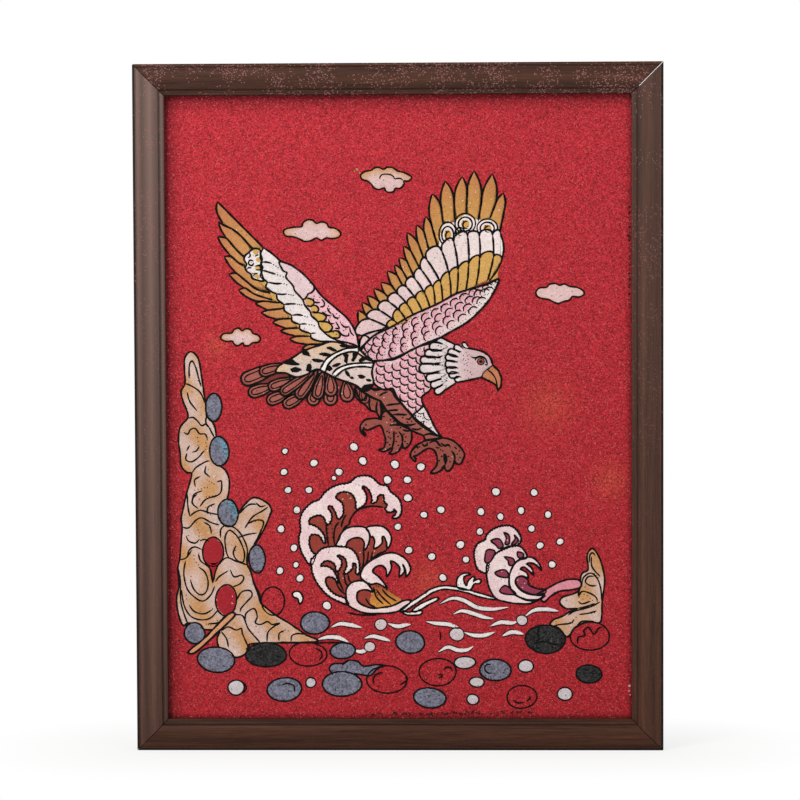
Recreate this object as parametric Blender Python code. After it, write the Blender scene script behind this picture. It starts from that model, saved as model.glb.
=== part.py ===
# Framed gemstone wall painting: a picture of crushed coloured stone laid on a board,
# in a mitred frame, with its back and its hanger.
# Metres, +Z up, +X to the right of a viewer, front towards -Y.
# The origin is the flat in the middle notch of the hanger, where a wall hook takes the weight.

import math

import bmesh
import bpy
from mathutils import Matrix
from mathutils import Vector

mm = 0.001

# Driving sizes of the boards and the frame
board_width = 305.0 * mm
board_height = 406.0 * mm
board_thickness = 2.5 * mm
backing_thickness = 2.5 * mm
rebate_cover = 5.0 * mm          # how far the frame's lip covers the edge of the board
rail_width = 20.0 * mm
rebate_depth = 10.0 * mm
lip_thickness = 3.2 * mm         # wood in front of the picture at the sight edge
cushion_rise = 3.6 * mm          # how far the cushion stands in front of the sight edge
lip_width = 3.2 * mm
lip_slope = 1.1 * mm
groove_width = 0.7 * mm
groove_depth = 0.5 * mm
band_width = 2.4 * mm            # flat band along the outer edge
band_drop = 2.4 * mm             # how far that band lies behind the cushion's crest
cushion_fall = 1.5 * mm          # the same on the cushion's inner side
edge_round = 0.6 * mm
cushion_steps = 14
cushion_fullness = 2.4           # 2 is a round back, more is a flatter one
joint_gap = 0.3 * mm             # clearance between pieces that touch
board_clearance = 0.5 * mm       # play of the boards in the rebate

# Driving sizes of the stone layer
ground_thickness = 1.2 * mm
pocket_depth = 0.8 * mm

# Driving sizes of the hanger, its nails and the retaining tabs
hanger_width = 45.0 * mm
hanger_height = 9.0 * mm
hanger_thickness = 0.8 * mm
nail_rise = 5.6 * mm             # nail's centre above the strip's lower edge
notch_flat = 2.4 * mm
notch_width = 4.4 * mm
notch_depth = 3.0 * mm
tooth_depth = 1.5 * mm
teeth_each_side = 6
nail_spacing = 37.0 * mm
nail_radius = 0.6 * mm
nail_length = 8.0 * mm
nail_head_radius = 1.6 * mm
nail_head_thickness = 0.6 * mm
tab_width = 7.0 * mm
tab_length = 10.0 * mm
tab_in_rail = 4.0 * mm
tab_thickness = 0.5 * mm
tab_inset = 60.0 * mm            # from each end of the opening to the nearest tab

# Sizes that follow from them
opening_width = board_width - 2 * rebate_cover
opening_height = board_height - 2 * rebate_cover
rebate_wall = rebate_cover + board_clearance
back_land = rail_width - rebate_wall
frame_back = -(hanger_thickness / 2 + joint_gap)
frame_front = frame_back - rebate_depth - lip_thickness - cushion_rise
lip_back = frame_back - rebate_depth
ground_front = lip_back + joint_gap
ground_back = ground_front + ground_thickness
pocket_floor = ground_front + pocket_depth
field_back = pocket_floor - joint_gap
board_front = ground_back + joint_gap
board_back = board_front + board_thickness
backing_front = board_back + joint_gap
backing_back = backing_front + backing_thickness
tab_front = backing_back + joint_gap
hanger_bottom = -notch_depth
hanger_middle = hanger_bottom + hanger_height / 2
opening_top = hanger_middle + back_land / 2 - rail_width
opening_bottom = opening_top - opening_height
opening_middle = (opening_top + opening_bottom) / 2

# The figures are drawn on a sheet of this size, in millimetres from its lower left corner.
# They keep their proportions, at the largest scale at which the sheet fits the opening.
sheet_width = 295.0
sheet_height = 396.0
drawing_scale = min(opening_width / sheet_width, opening_height / sheet_height)
weld_distance = 0.01 * mm
sharpest_corner = 0.35           # limits how far a grown outline's corners run out
lobe_depth = 0.16                # depth of a cloud's notches, as a share of its size
end_taper = 0.45                 # how much thinner a cloud is at its ends

wood_brown = (0.062, 0.027, 0.017)
board_brown = (0.20, 0.13, 0.08)
backing_brown = (0.24, 0.16, 0.10)
steel_grey = (0.45, 0.45, 0.46)
red_stone = (0.47, 0.045, 0.06)
ochre_stone = (0.50, 0.26, 0.10)
gold_stone = (0.62, 0.37, 0.10)
white_stone = (0.72, 0.58, 0.58)
pink_stone = (0.70, 0.34, 0.37)
cream_stone = (0.62, 0.46, 0.34)
brown_stone = (0.30, 0.09, 0.06)
beak_stone = (0.52, 0.22, 0.09)
foam_stone = (0.68, 0.50, 0.49)
grey_stone = (0.19, 0.17, 0.21)
black_stone = (0.03, 0.03, 0.03)


def empty_scene():
    for item in list(bpy.data.objects):
        bpy.data.objects.remove(item, do_unlink=True)


def new_collection(name):
    group = bpy.data.collections.new(name)
    bpy.context.scene.collection.children.link(group)
    return group


empty_scene()
painting = new_collection("gemstone_wall_painting")
cutters = new_collection("cutters")


# Materials and objects
def material(name, colour, roughness, metallic=0.0):
    made = bpy.data.materials.new(name)
    made.use_nodes = True
    shader = made.node_tree.nodes["Principled BSDF"]
    shader.inputs["Base Color"].default_value = (*colour, 1.0)
    shader.inputs["Roughness"].default_value = roughness
    shader.inputs["Metallic"].default_value = metallic
    return made


def add_piece(name, mesh, finish):
    piece = bpy.data.objects.new(name, mesh)
    painting.objects.link(piece)
    mesh.materials.append(finish)
    return piece


def add_cutter(name, mesh):
    tool = bpy.data.objects.new(name, mesh)
    cutters.objects.link(tool)
    tool.hide_render = True
    tool.display_type = "WIRE"
    return tool


def cut(piece, tool):
    step = piece.modifiers.new(tool.name, "BOOLEAN")
    step.operation = "DIFFERENCE"
    step.solver = "EXACT"
    step.object = tool


def fuse(piece, other):
    step = piece.modifiers.new(other.name, "BOOLEAN")
    step.operation = "UNION"
    step.solver = "EXACT"
    step.object = other


# Lines and outlines: each is a list of (across, up) points
def curve_through(points, steps=3):
    """A smooth open line through the points (Catmull-Rom)."""
    ends = [points[0], *points, points[-1]]
    line = []
    for index in range(len(points) - 1):
        before, start, finish, after = [Vector(p) for p in ends[index:index + 4]]
        for step in range(steps):
            t = step / steps
            bend = (before * (-t + 2 * t**2 - t**3) + start * (2 - 5 * t**2 + 3 * t**3)
                    + finish * (t + 4 * t**2 - 3 * t**3) + after * (t**3 - t**2))
            line.append(tuple(bend / 2))
    line.append(tuple(points[-1]))
    return line


def loop_through(points, steps=3):
    """A smooth closed line through the points."""
    count = len(points)
    line = []
    for index in range(count):
        before, start, finish, after = [Vector(points[(index + k) % count]) for k in (-1, 0, 1, 2)]
        for step in range(steps):
            t = step / steps
            bend = (before * (-t + 2 * t**2 - t**3) + start * (2 - 5 * t**2 + 3 * t**3)
                    + finish * (t + 4 * t**2 - 3 * t**3) + after * (t**3 - t**2))
            line.append(tuple(bend / 2))
    return line


def spot_on(line, share):
    """The point at this share of the line's length."""
    lengths = [math.dist(a, b) for a, b in zip(line, line[1:])]
    left = share * sum(lengths)
    for start, finish, length in zip(line, line[1:], lengths):
        if left <= length:
            return Vector(start).lerp(Vector(finish), left / length)
        left -= length
    return Vector(line[-1])


def scalloped(line, count, depth):
    """Round lobes along a line, bulging to its left."""
    edge = []
    for index in range(count):
        start = spot_on(line, index / count)
        finish = spot_on(line, (index + 1) / count)
        along = finish - start
        out = Vector((-along.y, along.x)).normalized()
        for step in range(3):
            t = step / 3
            edge.append(tuple(start + along * t + out * depth * math.sin(math.pi * t)))
    edge.append(tuple(spot_on(line, 1.0)))
    return edge


def fan(tip_line, root_line, count, notches, narrowing=0.0, bulge=0.05, round_tips=False):
    """The tips of a row of feathers, one for each step along two lines.

    The notch between two feathers lies at a share of the way from root to tip, which runs
    from the first of the two values to the second. Later feathers may be narrower.
    """
    weights = [1 - narrowing * index / count for index in range(count)]
    total = sum(weights[:-1])
    shares = [sum(weights[:index]) / total for index in range(count)]

    def between(share):
        depth = notches[0] + (notches[1] - notches[0]) * share
        return spot_on(root_line, share).lerp(spot_on(tip_line, share), depth)

    pits = [between((a + b) / 2) for a, b in zip(shares, shares[1:])]
    pits = [between(0.0) * 2 - pits[0], *pits, between(1.0) * 2 - pits[-1]]
    edge = []
    for share, before, after in zip(shares, pits, pits[1:]):
        tip = spot_on(tip_line, share)
        edge.append(tuple(before))
        if round_tips:
            middle = (before + after) / 2
            for swing in (-1.0, -0.45, 0.0, 0.45, 1.0):
                edge.append(tuple(middle + (tip - middle) * math.cos(swing)
                                  + (after - before) / 2 * math.sin(swing)))
        else:
            across = (after - before) * bulge
            edge.append(tuple(before.lerp(tip, 0.5) - across))
            edge.append(tuple(tip))
            edge.append(tuple(after.lerp(tip, 0.5) + across))
    edge.append(tuple(pits[-1]))
    return edge


def oval(centre_across, centre_up, half_across, half_up, sides=13):
    turns = [2 * math.pi * index / sides for index in range(sides)]
    return [(centre_across + half_across * math.cos(a), centre_up + half_up * math.sin(a))
            for a in turns]


def puffs(centre_across, centre_up, width, height, lobes, sides=24):
    """A cloud: an oval with an even number of round lobes, tapering to its two ends."""
    outline = []
    for index in range(sides):
        angle = 2 * math.pi * index / sides
        lobe = 1 - lobe_depth * (1 - abs(math.cos(lobes * angle / 2)))
        taper = 1 - end_taper * math.cos(angle)**4
        outline.append((centre_across + width / 2 * lobe * math.cos(angle),
                        centre_up + height / 2 * lobe * taper * math.sin(angle)))
    return outline


def strip_around(line, start_width, end_width):
    """Round a tapering strip: down its right side, from one width to another, and back up its left."""
    left = []
    right = []
    for index, point in enumerate(line):
        before = Vector(line[max(index - 1, 0)])
        after = Vector(line[min(index + 1, len(line) - 1)])
        along = (after - before).normalized()
        out = Vector((-along.y, along.x))
        half = (start_width + (end_width - start_width) * index / (len(line) - 1)) / 2
        left.append(tuple(Vector(point) + out * half))
        right.append(tuple(Vector(point) - out * half))
    return right + left[::-1]


def foot(toes):
    """The edge of a foot, round each of its toes in turn."""
    edge = []
    for toe in toes:
        edge += strip_around(curve_through(toe, 2), toe_width, claw_width)
    return edge


def turning(outline):
    pairs = zip(outline, outline[1:] + outline[:1])
    return sum(a[0] * b[1] - b[0] * a[1] for a, b in pairs)


def grown(outline, amount):
    """The outline moved outwards by an amount, with its corners kept from running away."""
    if turning(outline) < 0:
        outline = outline[::-1]
    moved = []
    count = len(outline)
    for index in range(count):
        here = Vector(outline[index])
        into = (here - Vector(outline[index - 1])).normalized()
        away = (Vector(outline[(index + 1) % count]) - here).normalized()
        normal = Vector((into.y, -into.x)) + Vector((away.y, -away.x))
        share = max(normal.length_squared / 2, sharpest_corner)
        moved.append(tuple(here + normal * amount / share))
    return moved


# From the drawing sheet to the picture
def on_picture(point):
    across = (point[0] - sheet_width / 2) * drawing_scale
    up = opening_middle + (point[1] - sheet_height / 2) * drawing_scale
    return (across, up)


def slab_mesh(name, outlines, front, back):
    """A flat solid between two depths, from outlines on the wall's plane; inner ones are holes."""
    curve = bpy.data.curves.new(name, "CURVE")
    curve.dimensions = "2D"
    curve.fill_mode = "BOTH"
    curve.extrude = (back - front) / 2
    for outline in outlines:
        spline = curve.splines.new("POLY")
        spline.points.add(len(outline) - 1)
        for knot, point in zip(spline.points, outline):
            knot.co = (point[0], point[1], 0.0, 1.0)
        spline.use_cyclic_u = True
    drawn = bpy.data.objects.new(name, curve)
    painting.objects.link(drawn)
    upright = Matrix.Rotation(math.pi / 2, 4, "X")
    drawn.matrix_world = Matrix.Translation((0.0, (front + back) / 2, 0.0)) @ upright
    bpy.context.view_layer.update()
    evaluated = drawn.evaluated_get(bpy.context.evaluated_depsgraph_get())
    mesh = bpy.data.meshes.new_from_object(evaluated)
    mesh.transform(drawn.matrix_world)
    shape = bmesh.new()
    shape.from_mesh(mesh)
    bmesh.ops.remove_doubles(shape, verts=shape.verts, dist=weld_distance)
    for vert in shape.verts:
        vert.co.y = front if vert.co.y < (front + back) / 2 else back
    bmesh.ops.recalc_face_normals(shape, faces=shape.faces)
    shape.to_mesh(mesh)
    shape.free()
    bpy.data.objects.remove(drawn, do_unlink=True)
    bpy.data.curves.remove(curve)
    mesh.name = name
    return mesh


def box_mesh(name, low, high):
    shape = bmesh.new()
    bmesh.ops.create_cube(shape, size=1.0)
    size = Vector(high) - Vector(low)
    bmesh.ops.scale(shape, vec=size, verts=shape.verts)
    bmesh.ops.translate(shape, vec=(Vector(low) + Vector(high)) / 2, verts=shape.verts)
    mesh = bpy.data.meshes.new(name)
    shape.to_mesh(mesh)
    shape.free()
    return mesh


def rod(shape, radius, front, back, across, up, sides=12):
    """A closed cylinder along the depth, added to a bmesh."""
    made = bmesh.ops.create_cone(shape, cap_ends=True, segments=sides, radius1=radius,
                                 radius2=radius, depth=back - front)
    place = Matrix.Translation((across, (front + back) / 2, up))
    turn = Matrix.Rotation(math.pi / 2, 4, "X")
    bmesh.ops.transform(shape, matrix=place @ turn, verts=made["verts"])


# Frame rails
def moulding():
    """The section of the rail: distance outwards from the sight edge, and depth."""
    band_front = frame_front + band_drop
    crest_from = lip_width + groove_width
    crest_to = rail_width - band_width
    points = [(0.0, lip_back), (0.0, frame_front + cushion_rise)]
    points.append((lip_width, frame_front + cushion_rise - lip_slope))
    points.append((lip_width, frame_front + cushion_fall + groove_depth))
    points.append((crest_from, frame_front + cushion_fall + groove_depth))
    for step in range(cushion_steps + 1):
        t = 2 * step / cushion_steps - 1
        drop = band_drop if t > 0 else cushion_fall
        across = (crest_from + crest_to) / 2 + t * (crest_to - crest_from) / 2
        points.append((across, frame_front + drop * abs(t)**cushion_fullness))
    points.append((rail_width - edge_round, band_front))
    points.append((rail_width, band_front + edge_round))
    points.append((rail_width, frame_back))
    points.append((rebate_wall, frame_back))
    points.append((rebate_wall, lip_back))
    return points


def rail_mesh(name, sight_length, sight_distance, turn):
    """A rail along the opening's edge; both its ends are mitred, half a joint gap short."""
    section = moulding()
    setback = joint_gap / 2 * math.sqrt(2)
    shape = bmesh.new()
    start = [shape.verts.new((-sight_length / 2 - out + setback, depth, sight_distance + out))
             for out, depth in section]
    face = shape.faces.new(start)
    swept = bmesh.ops.extrude_face_region(shape, geom=[face])
    for item in swept["geom"]:
        if isinstance(item, bmesh.types.BMVert):
            item.co.x = -item.co.x
    bmesh.ops.recalc_face_normals(shape, faces=shape.faces)
    bmesh.ops.rotate(shape, verts=shape.verts, matrix=Matrix.Rotation(turn, 3, "Y"))
    bmesh.ops.translate(shape, verts=shape.verts, vec=(0.0, 0.0, opening_middle))
    mesh = bpy.data.meshes.new(name)
    shape.to_mesh(mesh)
    shape.free()
    return mesh


wood = material("dark_brown_wood", wood_brown, 0.42)
rails = {}
for side, length, distance, turn in (
        ("top", opening_width, opening_height / 2, 0.0),
        ("right", opening_height, opening_width / 2, math.pi / 2),
        ("bottom", opening_width, opening_height / 2, math.pi),
        ("left", opening_height, opening_width / 2, -math.pi / 2)):
    rail_name = "frame_rail_" + side
    rails[side] = add_piece(rail_name, rail_mesh(rail_name, length, distance, turn), wood)


# Boards in the rebate
def board_piece(name, front, back, finish):
    """A board that fills the rebate with its clearance."""
    half = opening_width / 2 + rebate_cover
    low = opening_bottom - rebate_cover
    high = opening_top + rebate_cover
    return add_piece(name, box_mesh(name, (-half, front, low), (half, back, high)), finish)


board_piece("picture_board", board_front, board_back, material("board", board_brown, 0.8))
board_piece("backing_board", backing_front, backing_back, material("backing", backing_brown, 0.85))
ground = board_piece("red_stone_ground", ground_front, ground_back,
                     material("red_stone", red_stone, 0.85))


# Retaining tabs, each pressed into a slot in the rebate's wall
def lay_tab(name, side, along):
    """A flat tab across the rebate's wall, at a distance along one rail."""
    wall = (opening_height if side in ("top", "bottom") else opening_width) / 2 + rebate_wall
    turn = {"top": 0.0, "right": math.pi / 2, "bottom": math.pi, "left": -math.pi / 2}[side]
    swing = Matrix.Translation((0.0, 0.0, opening_middle)) @ Matrix.Rotation(turn, 4, "Y")
    low = (along - tab_width / 2, tab_front, wall + tab_in_rail - tab_length)
    high = (along + tab_width / 2, tab_front + tab_thickness, wall + tab_in_rail)
    mesh = box_mesh(name, low, high)
    mesh.transform(swing)
    add_piece(name, mesh, steel)
    room = Vector((joint_gap, joint_gap, joint_gap))
    slot = box_mesh(name + "_slot", Vector(low) - room, Vector(high) + room)
    slot.transform(swing)
    cut(rails[side], add_cutter(name + "_slot", slot))


steel = material("steel", steel_grey, 0.4, 0.9)
for side in ("top", "right", "bottom", "left"):
    length = opening_width if side in ("top", "bottom") else opening_height
    for number, way in enumerate((-1, 1), start=1):
        lay_tab(f"back_tab_{side}_{number}", side, way * (length / 2 - tab_inset))


# Hanger strip and its nails
def hanger_outline():
    """A strip whose lower edge has small teeth and a deeper, flat notch in the middle."""
    half = hanger_width / 2
    tooth = (half - notch_width / 2) / (teeth_each_side + 1)
    right = [(notch_flat / 2, 0.0), (notch_width / 2, hanger_bottom)]
    for index in range(teeth_each_side):
        start = notch_width / 2 + tooth * (index + 0.5)
        right.append((start, hanger_bottom))
        right.append((start + tooth / 2, hanger_bottom + tooth_depth))
    right.append((half - tooth / 2, hanger_bottom))
    right.append((half, hanger_bottom + tooth / 2))
    right.append((half, hanger_bottom + hanger_height))
    left = [(-across, up) for across, up in reversed(right)]
    return right + left


nail_up = hanger_bottom + nail_rise
holes = [oval(way * nail_spacing / 2, nail_up, nail_radius + joint_gap, nail_radius + joint_gap)
         for way in (-1, 1)]
strip = slab_mesh("hanger_strip", [hanger_outline(), *holes], -hanger_thickness / 2,
                  hanger_thickness / 2)
add_piece("hanger_strip", strip, steel)
for number, way in enumerate((-1, 1), start=1):
    across = way * nail_spacing / 2
    head_front = hanger_thickness / 2 + joint_gap
    nail_tip = head_front - nail_length
    shape = bmesh.new()
    rod(shape, nail_radius, nail_tip, head_front + nail_head_thickness / 2, across, nail_up)
    nail_mesh = bpy.data.meshes.new(f"hanger_nail_{number}")
    shape.to_mesh(nail_mesh)
    shape.free()
    nail = add_piece(f"hanger_nail_{number}", nail_mesh, steel)
    shape = bmesh.new()
    rod(shape, nail_head_radius, head_front, head_front + nail_head_thickness, across, nail_up)
    head_mesh = bpy.data.meshes.new(f"nail_head_{number}")
    shape.to_mesh(head_mesh)
    shape.free()
    fuse(nail, add_cutter(f"nail_head_{number}", head_mesh))
    shape = bmesh.new()
    rod(shape, nail_radius + joint_gap, nail_tip - joint_gap, 0.0, across, nail_up)
    bore_mesh = bpy.data.meshes.new(f"nail_bore_{number}")
    shape.to_mesh(bore_mesh)
    shape.free()
    cut(rails["top"], add_cutter(f"nail_bore_{number}", bore_mesh))


# The near wing, from its pointed feathers in to its scales
near_tips = curve_through([(214.5, 332.5), (207.5, 345.5), (195.5, 347.5), (177.5, 341),
                           (164.5, 319.5), (150.5, 300), (140.5, 284), (127.5, 268), (121.5, 257)])
white_line = curve_through([(211.5, 306), (196, 308), (180, 301), (166, 290), (150.5, 269),
                            (134.5, 255), (122, 239)])
gold_line = curve_through([(212, 290), (196.5, 289.5), (178.5, 279.5), (161.5, 268),
                           (146, 253.5), (141, 250)])
scale_line = curve_through([(211, 279), (203.5, 275.5), (185, 270), (164.5, 260), (143.5, 249),
                            (131, 242.5), (122, 235)])
scale_low = curve_through([(122, 235), (129.5, 228), (141.5, 228.5), (157, 235), (174.5, 242),
                           (187.5, 250.5), (201.5, 262.5), (211, 279)])
near_feathers = (fan(near_tips, white_line, 18, (0.5, 0.7), narrowing=0.55, bulge=0.12)
                 + [(125, 243), (140, 252), (165, 275), (190, 292), (210, 300)])
white_row = (scalloped(white_line[::-1], 14, 2.2)
             + [(214, 300), (213, 290), (200, 280), (175, 272), (150, 254), (130, 239)])
gold_row = (scalloped(gold_line[::-1], 13, 1.4)
            + [(209, 281), (203, 273), (185, 266), (164.5, 256), (143, 245)])
wing_scales = scale_line[:-1] + scale_low[:-1]

# The far wing, its feathers behind its coverts
far_tips = curve_through([(33.5, 328), (32.5, 306.5), (46, 273), (67.5, 252), (87, 233.5)])
far_roots = curve_through([(62.5, 299), (53, 284), (63.5, 273), (74.5, 259), (91.5, 240),
                           (104, 240)])
far_line = curve_through([(62.5, 299), (57, 289), (66, 275.5), (75.5, 262.5), (91.5, 242.5),
                          (104.5, 239)])
far_feathers = (fan(far_tips, far_roots, 12, (0.72, 0.62), narrowing=0.35, bulge=0.1)
                + [(104, 241), (92, 250), (78, 268), (64, 290), (62.5, 299), (47.5, 314.5)])
far_coverts = (scalloped(far_line[::-1], 9, 1.8) + curve_through(
    [(85.5, 285), (101, 268), (113.5, 256), (123, 243)]) + [(119, 236.5), (108, 238)])

# Head, beak and body
head = loop_through([(166, 240), (176, 241.5), (188, 238.5), (202.5, 233), (207.5, 226),
                     (203, 221), (198, 217), (190.5, 214), (184, 214), (172.5, 206),
                     (167.5, 211), (164.5, 221), (162.5, 230)])
beak = [(203, 227), (207.5, 225), (211.5, 219), (212.5, 213), (210.5, 208.5), (208.5, 214.5),
        (199, 217), (198, 222)]
body = [(127, 230), (141.5, 233), (160, 240), (172, 240), (172, 212), (162.5, 205.5), (163.5, 198.5),
        (168, 189.5), (173, 180.5), (157, 192), (143.5, 209.5), (137.5, 209.5), (130.5, 216.5),
        (128.5, 223)]

# Rump, tail feathers and legs
rump = loop_through([(70.5, 221), (76.5, 228), (87, 234.5), (100, 242), (118, 243), (130, 236),
                     (134, 226), (133, 214), (127.5, 208.5), (121, 212.5), (108, 216.5),
                     (99.5, 222.5), (91.5, 221), (80, 218)], 2)
tail_tips = curve_through([(66, 228.5), (50, 215.5), (55, 208.5), (64.5, 204), (77, 201.5),
                           (92, 202), (105, 201.5), (119, 203.5)])
tail_roots = curve_through([(80, 225), (90, 222), (100, 221), (112, 216), (122, 212)])
tail = (fan(tail_tips, tail_roots, 9, (0.8, 0.66), round_tips=True)
        + [(126, 214), (118, 225), (95, 230), (82, 229)])
toe_width = 3.8
claw_width = 0.5
near_toes = (((167, 177.7), (160.5, 176), (156.5, 170.5), (157, 164)),
             ((170.4, 176), (173.6, 170.5), (173.2, 163.5), (168.5, 157)),
             ((175.5, 176), (179.5, 170), (180.3, 163.5), (177.5, 157)),
             ((179.2, 179.4), (185.5, 174), (188, 168), (186.5, 161.5)))
near_leg = ([(118, 213), (127.5, 205), (138, 199), (150, 191), (163, 181.5)] + foot(near_toes)
            + [(174, 182), (160, 196), (143, 214), (126, 213)])
far_toes = (((141, 189.3), (133, 189), (126.5, 186), (125.5, 179.5)),
            ((142.8, 187), (142.5, 178), (141, 172.5), (135.5, 170.5)),
            ((147, 187), (149, 179.5), (147.5, 172.5), (142.5, 169)),
            ((151.4, 187.2), (154.5, 180.5), (154, 175.5), (151, 171)))
far_leg = foot(far_toes) + [(154, 194), (146, 201), (138, 201), (134, 197)]

# Rocks and waves
left_rocks = loop_through([
    (16, 234), (20.5, 227), (24, 209.5), (25.5, 193), (30, 178.5), (34.5, 163), (39, 151), (38, 137),
    (43.5, 124), (55, 141), (63, 138.5), (65.5, 131.5), (61.5, 116.5), (54.5, 106), (57, 84),
    (61, 72), (70, 66), (84, 57.5), (94, 49.5), (66, 48.5), (46, 39.5), (32.5, 51), (19.5, 57.5),
    (9.5, 61.5), (5.5, 79), (8.5, 99.5), (8, 123), (11, 141), (14.5, 157), (8.5, 161.5), (7.5, 180.5),
    (13.5, 193), (9.5, 207), (11.5, 226)], 2)
right_rocks = loop_through([
    (269.5, 108.5), (274, 103), (277, 92), (275.5, 77), (275, 62.5), (264, 61.5), (254, 54),
    (243, 61.5), (256, 69.5), (250, 74), (252, 79), (259, 82), (262.5, 92), (266.5, 102)], 2)
big_wave = loop_through([
    (145, 128.5), (148.5, 133), (147, 140.5), (137.5, 149), (125, 154.5), (115, 151), (100, 145),
    (87.5, 133.5), (83.5, 120), (86, 105), (91, 95), (95, 83), (104, 75), (114, 71), (125, 67.5),
    (142.5, 68.5), (151, 74.5), (140, 83), (132.5, 92), (138, 99), (145, 100.5), (150, 93),
    (154, 95.5), (150.5, 103.5), (139, 106), (141.5, 112.5), (139, 119), (130, 123), (117, 123.5),
    (121.5, 132), (130, 135.5), (138, 133)], 2)
small_wave = loop_through([
    (195, 100), (198, 112), (206.5, 120), (215.5, 123), (223.5, 118.5), (226.5, 109), (236, 103),
    (239, 95.5), (231, 98), (222, 93), (225, 84.5), (235, 81.5), (249.5, 88), (259, 89.5),
    (260, 82), (246, 80), (235.5, 74), (223, 71.5), (210, 75.5), (202.5, 88)], 2)

stones = {
    "red": material("smooth_red_stone", red_stone, 0.7),
    "ochre": material("ochre_stone", ochre_stone, 0.85),
    "gold": material("gold_stone", gold_stone, 0.85),
    "white": material("white_stone", white_stone, 0.85),
    "pink": material("pink_stone", pink_stone, 0.85),
    "cream": material("cream_stone", cream_stone, 0.85),
    "brown": material("brown_stone", brown_stone, 0.85),
    "beak": material("beak_stone", beak_stone, 0.85),
    "foam": material("foam_stone", foam_stone, 0.85),
    "grey": material("grey_stone", grey_stone, 0.85),
    "black": material("black_stone", black_stone, 0.8),
}
fields = {}


def lay_field(name, stone, outline, under=()):
    """A field of one stone in its own pocket, cut back where other fields lie over it."""
    placed = [on_picture(point) for point in outline]
    shrunk = grown(placed, -joint_gap / 2)
    piece = add_piece(name, slab_mesh(name, [shrunk], ground_front, field_back), stones[stone])
    for upper in under:
        cut(piece, fields[upper])
    pocket = slab_mesh(name + "_pocket", [grown(placed, joint_gap / 2)],
                       ground_front - pocket_depth, pocket_floor)
    fields[name] = add_cutter(name + "_pocket", pocket)
    cut(ground, fields[name])


grey_pebbles = ((30, 198.5, 5, 9), (33, 170.5, 6, 9.5), (38.5, 131, 6.5, 9), (57, 102, 5, 9),
                (16.5, 54.5, 6.5, 6.5), (30.5, 37.5, 12, 8), (93.5, 60.5, 9, 7), (111.5, 43, 7.5, 5),
                (74, 18.5, 11, 7.5), (111, 22, 12.5, 8), (154.5, 48.5, 8.5, 7), (166.5, 13, 10.5, 6.5),
                (208.5, 31, 10, 7))
black_pebbles = ((62.5, 41, 12.5, 7.5), (240.5, 50.5, 12.5, 9), (268, 28.5, 8, 5.5))
red_pebbles = ((29, 106.5, 7, 9), (37, 75.5, 6.5, 9.5))
for stone, pebbles in (("grey", grey_pebbles), ("black", black_pebbles), ("red", red_pebbles)):
    for number, pebble in enumerate(pebbles, start=1):
        lay_field(f"{stone}_pebble_{number}", stone, oval(*pebble))

lay_field("near_wing_scales", "pink", wing_scales)
lay_field("near_wing_gold_row", "gold", gold_row, ["near_wing_scales"])
lay_field("near_wing_white_row", "white", white_row, ["near_wing_scales", "near_wing_gold_row"])
lay_field("near_wing_feathers", "ochre", near_feathers,
          ["near_wing_scales", "near_wing_gold_row", "near_wing_white_row"])
lay_field("head", "pink", head, ["near_wing_scales"])
lay_field("beak", "beak", beak, ["head"])
lay_field("body", "pink", body, ["near_wing_scales", "head"])
lay_field("far_wing_coverts", "white", far_coverts,
          ["near_wing_scales", "near_wing_white_row", "near_wing_feathers"])
lay_field("far_wing_feathers", "ochre", far_feathers, ["far_wing_coverts"])
lay_field("rump", "cream", rump, ["near_wing_scales", "near_wing_white_row", "body",
                                  "far_wing_coverts", "far_wing_feathers"])
lay_field("tail_feathers", "brown", tail, ["rump"])
lay_field("near_leg", "brown", near_leg, ["body", "rump", "tail_feathers"])
lay_field("far_leg", "brown", far_leg, ["near_leg"])
lay_field("left_rocks", "cream", left_rocks,
          ["grey_pebble_1", "grey_pebble_2", "grey_pebble_3", "grey_pebble_4", "grey_pebble_5",
           "grey_pebble_6", "grey_pebble_7", "black_pebble_1", "red_pebble_1", "red_pebble_2"])
lay_field("right_rocks", "cream", right_rocks, ["black_pebble_2"])
lay_field("big_wave", "foam", big_wave)
lay_field("small_wave", "foam", small_wave, ["right_rocks"])
clouds = ((140.5, 341.5, 33, 17, 8), (93.5, 310, 38, 15, 8), (250, 269.5, 31, 14, 8),
          (47.5, 242.5, 26, 12, 6))
for number, cloud in enumerate(clouds, start=1):
    lay_field(f"cloud_{number}", "foam", puffs(*cloud))
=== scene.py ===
import math

import bmesh
import bpy
import numpy as np
from mathutils import Euler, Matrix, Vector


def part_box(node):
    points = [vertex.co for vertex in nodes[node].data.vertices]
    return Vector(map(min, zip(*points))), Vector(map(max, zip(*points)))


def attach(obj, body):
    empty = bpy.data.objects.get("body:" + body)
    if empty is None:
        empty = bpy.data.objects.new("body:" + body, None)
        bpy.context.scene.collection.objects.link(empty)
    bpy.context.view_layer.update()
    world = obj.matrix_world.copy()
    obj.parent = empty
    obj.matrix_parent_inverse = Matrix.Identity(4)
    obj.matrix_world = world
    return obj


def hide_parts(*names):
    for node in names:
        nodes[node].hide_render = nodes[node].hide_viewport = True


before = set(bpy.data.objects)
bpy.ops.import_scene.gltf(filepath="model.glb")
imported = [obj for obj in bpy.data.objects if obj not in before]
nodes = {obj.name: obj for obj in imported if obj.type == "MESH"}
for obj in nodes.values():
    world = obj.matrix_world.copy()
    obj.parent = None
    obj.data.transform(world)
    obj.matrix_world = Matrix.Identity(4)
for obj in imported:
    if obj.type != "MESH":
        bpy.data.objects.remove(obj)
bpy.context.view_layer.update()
mm = 0.001

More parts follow.
